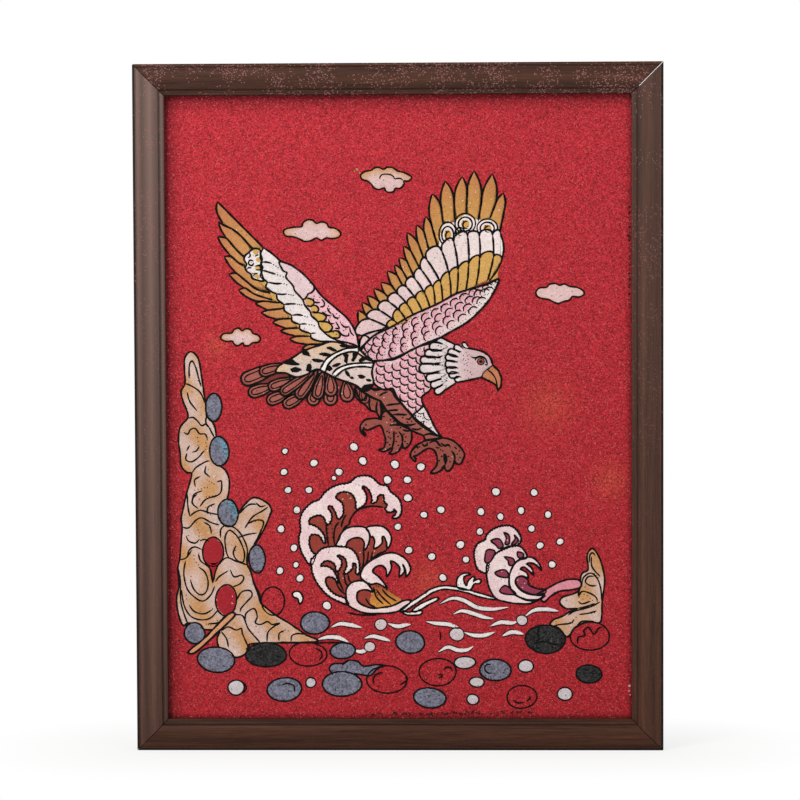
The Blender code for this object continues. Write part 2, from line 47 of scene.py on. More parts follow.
# Places taken from the frame: the opening's four edges and the face of the stone.
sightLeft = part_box("frame_rail_left")[1].x
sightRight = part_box("frame_rail_right")[0].x
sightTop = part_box("frame_rail_top")[0].z
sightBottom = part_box("frame_rail_bottom")[1].z
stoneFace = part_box("red_stone_ground")[0].y
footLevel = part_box("frame_rail_bottom")[0].z
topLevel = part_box("frame_rail_top")[1].z
print("frame loaded:", len(nodes), "nodes")


# Camera, light, floor and backdrop
studio = {
    "cameraPlace": (0.056, -2.0, -0.1065),
    # Degrees to the left of straight ahead, above level, and tilted
    "cameraYaw": 1.587,
    "cameraPitch": -2.81,
    "cameraRoll": -0.23,
    # The focal length in pixels, for a picture this many pixels wide
    "focalPixels": 3141.0,
    "pixelsWide": 800,
    # The sensor's width in millimetres, and how near and far the camera sees, in metres
    "sensorWidth": 36.0,
    "seenFrom": 0.05,
    "seenTo": 50.0,
    # Place, width, power and colour of each lamp
    "softboxes": {
        "key_softbox": ((-1.1, -1.5, 1.25), 0.75, 28.0, (1.0, 0.985, 0.96)),
        "fill_softbox": ((1.3, -1.8, 0.3), 1.2, 5.0, (0.97, 0.98, 1.0)),
    },
    # Strength of the light from all round, and the floor's half width in metres
    "ambient": 0.5,
    "floorReach": 6.0,
    "floorColour": (0.93, 0.915, 0.895),
    "floorRoughness": 0.9,
    # The floor's white share at the foot, the foot's half width, and how far off it is all white
    "fadeStart": 0.74,
    "footHalf": 0.15,
    "fadeLength": 0.13,
}


def placeObject(name, data):
    made = bpy.data.objects.new(name, data)
    bpy.context.scene.collection.objects.link(made)
    return made


def setCamera(plan):
    lens = bpy.data.cameras.new("camera")
    lens.sensor_width = plan["sensorWidth"]
    lens.lens = plan["focalPixels"] * plan["sensorWidth"] / plan["pixelsWide"]
    lens.clip_start = plan["seenFrom"]
    lens.clip_end = plan["seenTo"]
    camera = placeObject("camera", lens)
    camera.location = plan["cameraPlace"]
    turn = Euler((math.radians(90 + plan["cameraPitch"]), 0.0, math.radians(plan["cameraYaw"])), "XYZ")
    roll = Euler((0.0, 0.0, math.radians(plan["cameraRoll"])), "XYZ")
    camera.rotation_mode = "QUATERNION"
    camera.rotation_quaternion = turn.to_quaternion() @ roll.to_quaternion()
    bpy.context.scene.camera = camera


def addSoftbox(name, place, size, power, colour):
    # A round lamp that faces the middle of the picture.
    lamp = bpy.data.lights.new(name, "AREA")
    lamp.shape = "DISK"
    lamp.size = size
    lamp.energy = power
    lamp.color = colour
    box = placeObject(name, lamp)
    box.location = place
    middle = np.array([0.0, 0.0, (sightTop + sightBottom) / 2])
    away = np.array(place) - middle
    flat = math.hypot(away[0], away[1])
    box.rotation_euler = (math.atan2(flat, away[2]), 0.0, math.atan2(away[0], -away[1]))


def setWorld(plan):
    # The camera sees a white backdrop, and the object is lit by a dimmer, even light.
    world = bpy.data.worlds.new("studio_air")
    bpy.context.scene.world = world
    world.use_nodes = True
    tree = world.node_tree
    tree.nodes.clear()
    path = addNode(tree, "ShaderNodeLightPath")
    level = spreadNode(tree, path.outputs["Is Camera Ray"], wanted=(plan["ambient"], 1.0))
    air = addNode(tree, "ShaderNodeBackground", Color=(1.0, 1.0, 1.0), Strength=level)
    addNode(tree, "ShaderNodeOutputWorld", Surface=air.outputs["Background"])


def layFloor(plan):
    mesh = bpy.data.meshes.new("studio_floor")
    reach = plan["floorReach"]
    corners = [(-reach, -reach, footLevel), (reach, -reach, footLevel),
               (reach, reach, footLevel), (-reach, reach, footLevel)]
    mesh.from_pydata(corners, [], [(0, 1, 2, 3)])
    floor = placeObject("studio_floor", mesh)
    finish = bpy.data.materials.new("floor_paper")
    finish.use_nodes = True
    tree = finish.node_tree
    shader = tree.nodes["Principled BSDF"]
    shader.inputs["Base Color"].default_value = (*plan["floorColour"], 1.0)
    shader.inputs["Roughness"].default_value = plan["floorRoughness"]
    # The floor turns to plain white a little way from the frame's foot.
    place = addNode(tree, "ShaderNodeTexCoord").outputs["Object"]
    parts = addNode(tree, "ShaderNodeSeparateXYZ", Vector=place)
    aside = mathNode(tree, "ABSOLUTE", parts.outputs["X"])
    aside = mathNode(tree, "MAXIMUM", mathNode(tree, "SUBTRACT", aside, plan["footHalf"]), 0.0)
    away = mathNode(tree, "ABSOLUTE", parts.outputs["Y"])
    squares = mathNode(tree, "ADD", mathNode(tree, "MULTIPLY", aside, aside),
                       mathNode(tree, "MULTIPLY", away, away))
    gone = mathNode(tree, "DIVIDE", mathNode(tree, "SQRT", squares), plan["fadeLength"])
    share = mathNode(tree, "ADD", mathNode(tree, "MULTIPLY", gone, 1 - plan["fadeStart"]),
                     plan["fadeStart"], True)
    seen = addNode(tree, "ShaderNodeLightPath")
    share = mathNode(tree, "MULTIPLY", share, seen.outputs["Is Camera Ray"])
    glow = addNode(tree, "ShaderNodeEmission", Color=(1.0, 1.0, 1.0))
    both = addNode(tree, "ShaderNodeMixShader", Fac=share)
    tree.links.new(shader.outputs["BSDF"], both.inputs[1])
    tree.links.new(glow.outputs["Emission"], both.inputs[2])
    tree.links.new(both.outputs["Shader"], tree.nodes["Material Output"].inputs["Surface"])
    mesh.materials.append(finish)


# Shader helpers
def newGroup(name, inputs, outputs):
    tree = bpy.data.node_groups.new(name, "ShaderNodeTree")
    for label, kind, value in inputs:
        socket = tree.interface.new_socket(name=label, in_out="INPUT", socket_type="NodeSocket" + kind)
        if value is not None:
            socket.default_value = value
    for label, kind in outputs:
        tree.interface.new_socket(name=label, in_out="OUTPUT", socket_type="NodeSocket" + kind)
    return tree, tree.nodes.new("NodeGroupInput"), tree.nodes.new("NodeGroupOutput")


def feed(tree, socket, value):
    # Links the socket, or sets it where the value is constant; a colour is given as three numbers.
    if isinstance(value, bpy.types.NodeSocket):
        tree.links.new(value, socket)
    elif socket.type == "RGBA":
        socket.default_value = (*value, 1.0)
    else:
        socket.default_value = value


def addNode(tree, kind, settings=None, **values):
    # Values are given by socket name, with an underscore for each space.
    node = tree.nodes.new(kind)
    for label, value in (settings or {}).items():
        setattr(node, label, value)
    for label, value in values.items():
        feed(tree, node.inputs[label.replace("_", " ")], value)
    return node


def mathNode(tree, operation, first, second=0.0, clamp=False):
    node = tree.nodes.new("ShaderNodeMath")
    node.operation = operation
    node.use_clamp = clamp
    for socket, value in zip(node.inputs, (first, second)):
        feed(tree, socket, value)
    return node.outputs[0]


def noiseNode(tree, place, scale, detail, **more):
    node = addNode(tree, "ShaderNodeTexNoise", Vector=place, Scale=scale, Detail=detail, **more)
    return node.outputs["Fac"]


def spreadNode(tree, value, given=(0.0, 1.0), wanted=(0.0, 1.0)):
    # A value that runs between the first two numbers is made to run between the second two.
    node = addNode(tree, "ShaderNodeMapRange", Value=value, From_Min=given[0], From_Max=given[1],
                   To_Min=wanted[0], To_Max=wanted[1])
    return node.outputs["Result"]


def mixNode(tree, factor, first, second, blend="MIX"):
    node = tree.nodes.new("ShaderNodeMix")
    node.data_type = "RGBA"
    node.blend_type = blend
    # Of its sockets, 0 is the factor, 6 and 7 are the colours, and output 2 is their mix.
    for socket, value in ((0, factor), (6, first), (7, second)):
        feed(tree, node.inputs[socket], value)
    return node.outputs[2]


def joinFinish(tree, target, colour, roughness, normal):
    # The target's first socket takes the colour, on a group and on a shader alike.
    for label, source in ((0, colour), ("Roughness", roughness), ("Normal", normal)):
        tree.links.new(source, target.inputs[label])


setCamera(studio)
setWorld(studio)
layFloor(studio)
for lampName, lampValues in studio["softboxes"].items():
    addSoftbox(lampName, *lampValues)
bpy.context.scene.view_settings.view_transform = "Standard"
print("studio set")


def makeSandGroup():
    # Crushed stone: each grain is a cell that is lighter or darker than the rest, and a few
    # grains are pale or dark specks. Larger patches drift a little in tone.
    tree, given, result = newGroup(
        "crushed_stone",
        [("Stone", "Color", (0.5, 0.5, 0.5, 1.0)), ("Grain Size", "Float", 0.0007),
         ("Grain Contrast", "Float", 0.3), ("Drift", "Float", 0.1),
         ("Pale Specks", "Float", 0.05), ("Dark Specks", "Float", 0.03),
         ("Speck Colour", "Color", (0.9, 0.7, 0.7, 1.0)), ("Relief", "Float", 0.5)],
        [("Color", "Color"), ("Roughness", "Float"), ("Normal", "Vector")])
    place = addNode(tree, "ShaderNodeTexCoord").outputs["Object"]
    perMetre = mathNode(tree, "DIVIDE", 1.0, given.outputs["Grain Size"])
    cells = addNode(tree, "ShaderNodeTexVoronoi", {"feature": "F1"}, Vector=place, Scale=perMetre,
                    Randomness=1.0)
    cellTone = addNode(tree, "ShaderNodeSeparateColor", Color=cells.outputs["Color"])
    fine = noiseNode(tree, place, 900.0, 3.0, Roughness=0.75)
    broad = noiseNode(tree, place, 34.0, 4.0, Roughness=0.6)
    grainTone = mathNode(tree, "SUBTRACT", cellTone.outputs["Red"], 0.5)
    fineTone = mathNode(tree, "SUBTRACT", fine, 0.5)
    both = mathNode(tree, "ADD", grainTone, mathNode(tree, "MULTIPLY", fineTone, 1.6))
    swing = mathNode(tree, "MULTIPLY", both, given.outputs["Grain Contrast"])
    drift = mathNode(tree, "MULTIPLY", mathNode(tree, "SUBTRACT", broad, 0.5), given.outputs["Drift"])
    tone = mathNode(tree, "ADD", mathNode(tree, "ADD", swing, drift), 1.0)
    grey = addNode(tree, "ShaderNodeCombineColor", Red=tone, Green=tone, Blue=tone)
    toned = mixNode(tree, 1.0, given.outputs["Stone"], grey.outputs["Color"], "MULTIPLY")
    paleLimit = mathNode(tree, "SUBTRACT", 1.0, given.outputs["Pale Specks"])
    pale = mathNode(tree, "GREATER_THAN", cellTone.outputs["Green"], paleLimit)
    paleShare = mathNode(tree, "MULTIPLY", pale, 0.55)
    withPale = mixNode(tree, paleShare, toned, given.outputs["Speck Colour"])
    dark = mathNode(tree, "LESS_THAN", cellTone.outputs["Blue"], given.outputs["Dark Specks"])
    darkShare = mathNode(tree, "MULTIPLY", dark, 0.6)
    withDark = mixNode(tree, darkShare, withPale, (0.03, 0.012, 0.014))
    bump = addNode(tree, "ShaderNodeBump", Strength=given.outputs["Relief"], Distance=0.0003,
                   Height=cells.outputs["Distance"])
    rough = spreadNode(tree, cellTone.outputs["Blue"], wanted=(0.95, 0.62))
    joinFinish(tree, result, withDark, rough, bump.outputs["Normal"])
    return tree


def makeWoodGroup():
    # Dark foil with a printed grain: thin streaks drawn out along the rail, over broad bands.
    tree, given, result = newGroup(
        "wood_foil",
        [("Along", "Vector", (1.0, 1.0, 1.0)), ("Dark", "Color", (0.03, 0.01, 0.005, 1.0)),
         ("Light", "Color", (0.1, 0.05, 0.03, 1.0)), ("Pore Depth", "Float", 0.5)],
        [("Color", "Color"), ("Roughness", "Float"), ("Normal", "Vector")])
    place = addNode(tree, "ShaderNodeTexCoord").outputs["Object"]
    drawn = addNode(tree, "ShaderNodeVectorMath", {"operation": "MULTIPLY"})
    tree.links.new(place, drawn.inputs[0])
    tree.links.new(given.outputs["Along"], drawn.inputs[1])
    streaks = noiseNode(tree, drawn.outputs["Vector"], 1500.0, 4.0, Roughness=0.65)
    bands = noiseNode(tree, drawn.outputs["Vector"], 260.0, 2.0)
    pores = noiseNode(tree, drawn.outputs["Vector"], 3200.0, 1.0)
    tone = mathNode(tree, "ADD", mathNode(tree, "MULTIPLY", streaks, 0.6),
                    mathNode(tree, "MULTIPLY", bands, 0.4))
    sharp = spreadNode(tree, tone, (0.36, 0.64))
    colour = mixNode(tree, sharp, given.outputs["Dark"], given.outputs["Light"])
    pit = spreadNode(tree, pores, (0.6, 0.72))
    pitted = mixNode(tree, mathNode(tree, "MULTIPLY", pit, 0.55), colour, given.outputs["Dark"])
    bump = addNode(tree, "ShaderNodeBump", {"invert": True}, Strength=given.outputs["Pore Depth"],
                   Distance=0.0001, Height=pit)
    rough = spreadNode(tree, streaks, wanted=(0.5, 0.38))
    joinFinish(tree, result, pitted, rough, bump.outputs["Normal"])
    return tree


def makeDustGroup():
    # Fine dust of the picture's stone: sparse specks, thicker where a slow pattern says so.
    tree, given, result = newGroup(
        "stone_dust",
        [("Amount", "Float", 0.3), ("Speck Size", "Float", 0.0009)],
        [("Mask", "Float")])
    place = addNode(tree, "ShaderNodeTexCoord").outputs["Object"]
    perMetre = mathNode(tree, "DIVIDE", 1.0, given.outputs["Speck Size"])
    cells = addNode(tree, "ShaderNodeTexVoronoi", {"feature": "F1"}, Vector=place, Scale=perMetre,
                    Randomness=1.0)
    tone = addNode(tree, "ShaderNodeSeparateColor", Color=cells.outputs["Color"])
    gate = spreadNode(tree, noiseNode(tree, place, 45.0, 3.0), (0.4, 0.7))
    reach = mathNode(tree, "MULTIPLY", gate, given.outputs["Amount"])
    speck = mathNode(tree, "LESS_THAN", tone.outputs["Red"], reach)
    near = spreadNode(tree, cells.outputs["Distance"], (0.25, 0.5), (1.0, 0.0))
    tree.links.new(mathNode(tree, "MULTIPLY", speck, near), result.inputs["Mask"])
    return tree


sandGroup = makeSandGroup()
woodGroup = makeWoodGroup()
dustGroup = makeDustGroup()


def blankMaterial(name):
    made = bpy.data.materials.new(name)
    made.use_nodes = True
    return made, made.node_tree, made.node_tree.nodes["Principled BSDF"]


def sandMaterial(name, specular=0.15, **grain):
    # Where no stone colour is given, each surface brings its own, as an attribute.
    made, tree, shader = blankMaterial(name)
    sand = addNode(tree, "ShaderNodeGroup", {"node_tree": sandGroup}, **grain)
    if "Stone" not in grain:
        tint = addNode(tree, "ShaderNodeAttribute", {"attribute_name": "stoneTint"})
        tree.links.new(tint.outputs["Color"], sand.inputs["Stone"])
    joinFinish(tree, shader, sand.outputs["Color"], sand.outputs["Roughness"], sand.outputs["Normal"])
    shader.inputs["Specular IOR Level"].default_value = specular
    return made


foil = {
    "dark": (0.027, 0.0088, 0.0042),
    "light": (0.092, 0.034, 0.0175),
    # Colour of the painted sheen, a pale veil standing for the key light's reflection on the foil
    "paintedSheen": (0.25, 0.168, 0.145),
    "dust": (0.36, 0.15, 0.15),
    # Dust lies on the front only: none behind the first depth and all of it past the second
    "dustDepths": (-0.0118, -0.013),
    # Dust grows with height, between these two levels and by these two shares
    "dustLevels": (-0.3, 0.0),
    "dustShares": (0.1, 1.0),
    "specular": 0.17,
    "breadth": 20.0,
    # Painted light and shade across the rails are kept as shares of this one
    "brightestTone": 2.4,
}


def woodMaterial(name, plan):
    # A pale painted sheen stands for the key light's reflection, given as its share at the frame's foot and
    # at its top. Painted light and shade are given across the rail, as millimetres from its outer edge and
    # how bright the foil is there.
    made, tree, shader = blankMaterial(name)
    wood = addNode(tree, "ShaderNodeGroup", {"node_tree": woodGroup}, Along=plan["along"],
                   Dark=foil["dark"], Light=foil["light"])
    dust = addNode(tree, "ShaderNodeGroup", {"node_tree": dustGroup}, Amount=plan["dust"])
    place = addNode(tree, "ShaderNodeTexCoord").outputs["Object"]
    parts = addNode(tree, "ShaderNodeSeparateXYZ", Vector=place)
    out = spreadNode(tree, parts.outputs[plan["axis"]], (plan["outer"], plan["sight"]))
    ramp = tree.nodes.new("ShaderNodeValToRGB")
    stops = ramp.color_ramp.elements
    stops[0].position, stops[1].position = 0.0, 1.0
    for distance, tone in plan["paintedShading"][1:-1]:
        stops.new(distance / foil["breadth"])
    brightest = foil["brightestTone"]
    for stop, (distance, tone) in zip(stops, plan["paintedShading"]):
        stop.color = (tone / brightest, tone / brightest, tone / brightest, 1.0)
    tree.links.new(out, ramp.inputs["Fac"])
    # Painted sheen: a pale veil that grows towards the top, where the key light's reflection falls
    sheenShare = spreadNode(tree, parts.outputs["Z"], (footLevel, 0.0), plan["paintedSheen"])
    height = spreadNode(tree, parts.outputs["Z"], foil["dustLevels"], foil["dustShares"])
    sheened = mixNode(tree, sheenShare, wood.outputs["Color"], foil["paintedSheen"])
    # Painted light and shade across the moulding: lit edges, shaded grooves and a sheen along the cushion
    toned = mixNode(tree, 1.0, sheened, ramp.outputs["Color"], "MULTIPLY")
    bright = mixNode(tree, 1.0, toned, (brightest, brightest, brightest), "MULTIPLY")
    facing = spreadNode(tree, parts.outputs["Y"], foil["dustDepths"])
    level = mathNode(tree, "MULTIPLY", height, facing)
    specks = mathNode(tree, "MULTIPLY", dust.outputs["Mask"], level)
    dusty = mixNode(tree, specks, bright, foil["dust"])
    joinFinish(tree, shader, dusty, wood.outputs["Roughness"], wood.outputs["Normal"])
    shader.inputs["Specular IOR Level"].default_value = foil["specular"]
    return made


def dress(nodeName, finish):
    mesh = nodes[nodeName].data
    mesh.materials.clear()
    mesh.materials.append(finish)


# Drawing tools. Everything in the picture is drawn on a sheet whose lower left corner is the
# opening's, in millimetres, and is then set on the stone's face.
def spots(*tenths):
    # Places on the sheet in millimetres, from numbers across and up in tenths of a millimetre.
    return [(across / 10, up / 10) for across, up in zip(tenths[::2], tenths[1::2])]


def smoothPath(points, closed=False, step=0.9):
    # A cubic from each point to the next, whose slope at a point is half the way between the points
    # before and after it; the curve is then read off at even distances.
    knots = np.asarray(points, float)
    if closed:
        before, start, finish, after = (np.roll(knots, shift, axis=0) for shift in (1, 0, -1, -2))
    else:
        padded = np.vstack([2 * knots[0] - knots[1], knots, 2 * knots[-1] - knots[-2]])
        before, start, finish, after = padded[:-3], padded[1:-2], padded[2:-1], padded[3:]
    t = np.linspace(0, 1, 12, endpoint=False)[None, :, None]
    before, start, finish, after = (part[:, None, :] for part in (before, start, finish, after))
    fine = (2 * start + (finish - before) * t + (2 * before - 5 * start + 4 * finish - after) * t**2
            + (3 * start - before - 3 * finish + after) * t**3) / 2
    line = np.vstack([fine.reshape(-1, 2), knots[:1] if closed else knots[-1:]])
    even = evenPath(line, step)
    return even[:-1] if closed else even


def reachAlong(path):
    # How far along the path each of its points lies.
    return np.concatenate([[0.0], np.cumsum(np.hypot(*np.diff(path, axis=0).T))])


def evenPath(line, step=0.9):
    # The same line with its points at even distances.
    line = np.asarray(line, float)
    reach = reachAlong(line)
    count = max(int(round(reach[-1] / step)), 3)
    at = np.linspace(0.0, reach[-1], count + 1)
    return np.stack([np.interp(at, reach, line[:, axis]) for axis in (0, 1)], axis=1)


def outlinePath(points):
    # A closed outline in even steps, its corners kept.
    points = np.asarray(points, float)
    return evenPath(np.vstack([points, points[:1]]), 0.7)[:-1]


def placesAlong(path, shares):
    # The points at the given shares of the path's length.
    path = np.asarray(path, float)
    reach = reachAlong(path)
    return np.stack([np.interp(shares, reach / reach[-1], path[:, axis]) for axis in (0, 1)], axis=1)


def lerp(first, second, share):
    share = np.asarray(share, float)
    return np.asarray(first, float) * (1 - share) + np.asarray(second, float) * share


def ovalPath(centre, radii, turn=0.0, wobble=0.0, seed=0.0, count=None):
    # An ellipse whose radius swings a little, as a hand draws it.
    count = count or max(int(2.4 * math.pi * max(radii)), 14)
    angle = np.linspace(0, 2 * np.pi, count, endpoint=False)
    reach = 1 + wobble * (np.sin(2 * angle + seed) + 0.6 * np.sin(3 * angle + 2.3 * seed))
    across = radii[0] * reach * np.cos(angle)
    up = radii[1] * reach * np.sin(angle)
    cosine, sine = math.cos(turn), math.sin(turn)
    return np.stack([centre[0] + across * cosine - up * sine, centre[1] + across * sine + up * cosine], 1)


def onWall(points, lift):
    # From the sheet to the room: lift is the height above the stone's face, in millimetres.
    points = np.asarray(points, float)
    depth = stoneFace - np.broadcast_to(lift, points.shape[:-1]) * mm
    return np.stack([sightLeft + points[..., 0] * mm, depth, sightBottom + points[..., 1] * mm], axis=-1)


class Pile:
    # Small surfaces gathered until they are made into one piece.
    def __init__(self):
        self.points = []
        self.faces = []
        self.tints = []
        self.count = 0

    def add(self, points, faces, tint):
        self.points.append(points.reshape(-1, 3))
        self.faces += [[index + self.count for index in face] for face in faces]
        self.tints.append(np.broadcast_to(np.asarray(tint, float), (points.size // 3, 3)))
        self.count += points.size // 3

    def make(self, name, finish, slot, *standsFor, smooth=True):
        mesh = bpy.data.meshes.new(name)
        mesh.from_pydata(np.vstack(self.points).tolist(), [], self.faces)
        tint = mesh.attributes.new("stoneTint", "FLOAT_COLOR", "POINT")
        colours = np.ones((self.count, 4), np.float32)
        colours[:, :3] = np.vstack(self.tints)
        tint.data.foreach_set("color", colours.ravel())
        mesh.polygons.foreach_set("use_smooth", np.full(len(mesh.polygons), smooth))
        mesh.materials.append(finish)
        piece = placeObject(name, mesh)
        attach(piece, "root")
        if standsFor:
            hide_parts(*standsFor)
        print(name, "made:", len(mesh.polygons), "faces")
        return piece


def gridFaces(rows, columns, wrap=False):
    # The four-cornered faces between the points of a grid, counted row by row.
    row = np.arange(rows - 1)[:, None]
    column = np.arange(columns if wrap else columns - 1)[None, :]
    ahead = (column + 1) % columns
    corners = (row * columns + column, (row + 1) * columns + column, (row + 1) * columns + ahead,
               row * columns + ahead)
    return np.stack(np.broadcast_arrays(*corners), -1).reshape(-1, 4).tolist()


def normalsOf(path, closed):
    # Left-hand normals of a path, lengthened where it bends so that its width stays even.
    if closed:
        ahead = np.roll(path, -1, axis=0) - path
        behind = path - np.roll(path, 1, axis=0)
    else:
        ahead = np.vstack([np.diff(path, axis=0), path[-1:] - path[-2:-1]])
        behind = np.vstack([path[1:2] - path[:1], np.diff(path, axis=0)])
    ahead = ahead / (np.linalg.norm(ahead, axis=1, keepdims=True) + 1e-9)
    behind = behind / (np.linalg.norm(behind, axis=1, keepdims=True) + 1e-9)
    both = np.stack([-ahead[:, 1] - behind[:, 1], ahead[:, 0] + behind[:, 0]], axis=1)
    share = np.maximum((both**2).sum(axis=1, keepdims=True) / 2, 0.7)
    return both / share


inkColour = (0.004, 0.0035, 0.004)
# The section of a line, as shares of half its width and of its height, in millimetres
strokeProfile = {
    "across": np.array([-1.0, -0.6, 0.6, 1.0]),
    "rise": np.array([0.0, 1.0, 1.0, 0.0]),
    "height": 0.1,
    # An open stroke's width at its ends, and how far in it has its whole width
    "endShare": 0.45,
    "endLength": 1.6,
}


def capsOf(count):
    # The two end faces of a four-sided strip with this many sections.
    last = (count - 1) * 4
    return [[0, 1, 2, 3], [last + 3, last + 2, last + 1, last]]


def addStroke(pile, path, width, lift=0.1, closed=False):
    # A line of black sand: a low four-sided section carried along the path, thinner at open ends.
    path = np.asarray(path, float)
    count = len(path)
    half = np.full(count, width / 2)
    if not closed:
        reach = reachAlong(path)
        ends = strokeProfile["endShare"]
        for gap in (reach, reach[-1] - reach):
            half *= np.clip(ends + (1 - ends) * gap / strokeProfile["endLength"], 0, 1)
    half *= 1 + 0.12 * np.sin(np.arange(count) * 0.7 + path[0].sum())
    side = normalsOf(path, closed) * half[:, None]
    flat = path[:, None, :] + side[:, None, :] * strokeProfile["across"][None, :, None]
    points = onWall(flat, lift + strokeProfile["height"] * strokeProfile["rise"][None, :])
    if closed:
        row = np.arange(count)[:, None]
        column = np.arange(4)[None, :]
        nextRow = (row + 1) % count
        ahead = (column + 1) % 4
        corners = (row * 4 + column, nextRow * 4 + column, nextRow * 4 + ahead, row * 4 + ahead)
        faces = np.stack(np.broadcast_arrays(*corners), -1).reshape(-1, 4).tolist()
    else:
        faces = gridFaces(count, 4, wrap=True) + capsOf(count)
    pile.add(points, faces, inkColour)


def isInside(points, outline):
    # Counts the outline's edges to the right of each point: inside where the count is odd.
    start = np.asarray(outline, float)
    finish = np.roll(start, -1, axis=0)
    x, y = points[:, 0:1], points[:, 1:2]
    spans = (start[:, 1] > y) != (finish[:, 1] > y)
    rise = np.where(finish[:, 1] == start[:, 1], 1e-9, finish[:, 1] - start[:, 1])
    crossing = start[:, 0] + (y - start[:, 1]) / rise * (finish[:, 0] - start[:, 0])
    return (spans & (x < crossing)).sum(axis=1) % 2 == 1


def nearestOn(points, outline):
    # The nearest point of the outline to each point, and its distance.
    start = np.asarray(outline, float)
    edge = np.roll(start, -1, axis=0) - start
    size = (edge**2).sum(axis=1) + 1e-12
    share = np.clip(((points[:, None, :] - start) * edge).sum(axis=2) / size, 0, 1)
    foot = start + share[:, :, None] * edge
    gap = np.linalg.norm(points[:, None, :] - foot, axis=2)
    best = gap.argmin(axis=1)
    index = np.arange(len(points))
    return foot[index, best], gap[index, best]


def addFill(pile, outline, tint, cell=0.8, rise=0.12, lift=0.0):
    # A field: a grid over the outline's box, kept where it lies inside, with its rim drawn on to
    # the outline. The top stands a little proud of the rim, and a flat underside closes it.
    outline = np.asarray(outline, float)
    low = outline.min(axis=0) - cell
    high = outline.max(axis=0) + cell
    across = np.arange(low[0], high[0] + cell, cell)
    up = np.arange(low[1], high[1] + cell, cell)
    grid = np.stack(np.meshgrid(across, up), axis=-1)
    shape = grid.shape[:2]
    flat = grid.reshape(-1, 2)
    inside = isInside(flat, outline).reshape(shape)
    corners = np.stack([inside[:-1, :-1], inside[:-1, 1:], inside[1:, 1:], inside[1:, :-1]])
    keep = corners.sum(axis=0) >= 2
    used = np.zeros(shape, bool)
    for rowShift, columnShift in ((0, 0), (0, 1), (1, 1), (1, 0)):
        used[rowShift:shape[0] - 1 + rowShift, columnShift:shape[1] - 1 + columnShift] |= keep
    whole = np.zeros(shape, int)
    for rowShift, columnShift in ((0, 0), (0, 1), (1, 1), (1, 0)):
        whole[rowShift:shape[0] - 1 + rowShift, columnShift:shape[1] - 1 + columnShift] += keep
    usedFlat = used.reshape(-1)
    rim = usedFlat & (whole.reshape(-1) < 4)
    if not usedFlat.any():
        return
    flat = flat.copy()
    flat[rim] = nearestOn(flat[rim], outline)[0]
    number = np.full(len(flat), -1)
    number[usedFlat] = np.arange(usedFlat.sum())
    inner = usedFlat & ~rim
    under = np.full(len(flat), -1)
    under[rim] = number[rim]
    under[inner] = usedFlat.sum() + np.arange(inner.sum())
    row, column = np.nonzero(keep)
    width = shape[1]
    loop = np.stack([row * width + column, row * width + column + 1, (row + 1) * width + column + 1,
                     (row + 1) * width + column], axis=1)
    top = number[loop]
    bottom = under[loop][:, ::-1]
    topPoints = onWall(flat[usedFlat], lift + np.where(rim[usedFlat], 0.0, rise))
    bottomPoints = onWall(flat[inner], lift)
    topTint = tint(flat[usedFlat]) if callable(tint) else np.broadcast_to(tint, (usedFlat.sum(), 3))
    bottomTint = tint(flat[inner]) if callable(tint) else np.broadcast_to(tint, (inner.sum(), 3))
    pile.add(np.vstack([topPoints, bottomPoints]), top.tolist() + bottom.tolist(),
             np.vstack([topTint, bottomTint]))


def addBead(pile, outline, tint, rise, lift=0.0, rings=3):
    # A low dome over an outline that can be seen whole from its middle.
    outline = np.asarray(outline, float)
    middle = outline.mean(axis=0)
    share = np.cos(np.linspace(0, np.pi / 2, rings + 1)[:-1])[:, None, None]
    rows = middle + (outline - middle)[None, :, :] * share
    height = np.broadcast_to(rise * np.sqrt(1 - share[..., 0]**2), rows.shape[:2])
    points = onWall(rows, lift + height).reshape(-1, 3)
    top = onWall(middle[None, :], lift + rise)
    count = len(outline)
    faces = [face[::-1] for face in gridFaces(rings, count, wrap=True)]
    first = (rings - 1) * count
    faces += [[first + index, first + (index + 1) % count, rings * count] for index in range(count)]
    faces.append(list(range(count))[::-1])
    pile.add(np.vstack([points, top]), faces, tint)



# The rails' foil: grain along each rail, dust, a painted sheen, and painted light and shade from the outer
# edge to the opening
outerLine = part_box("frame_rail_right")[1].x
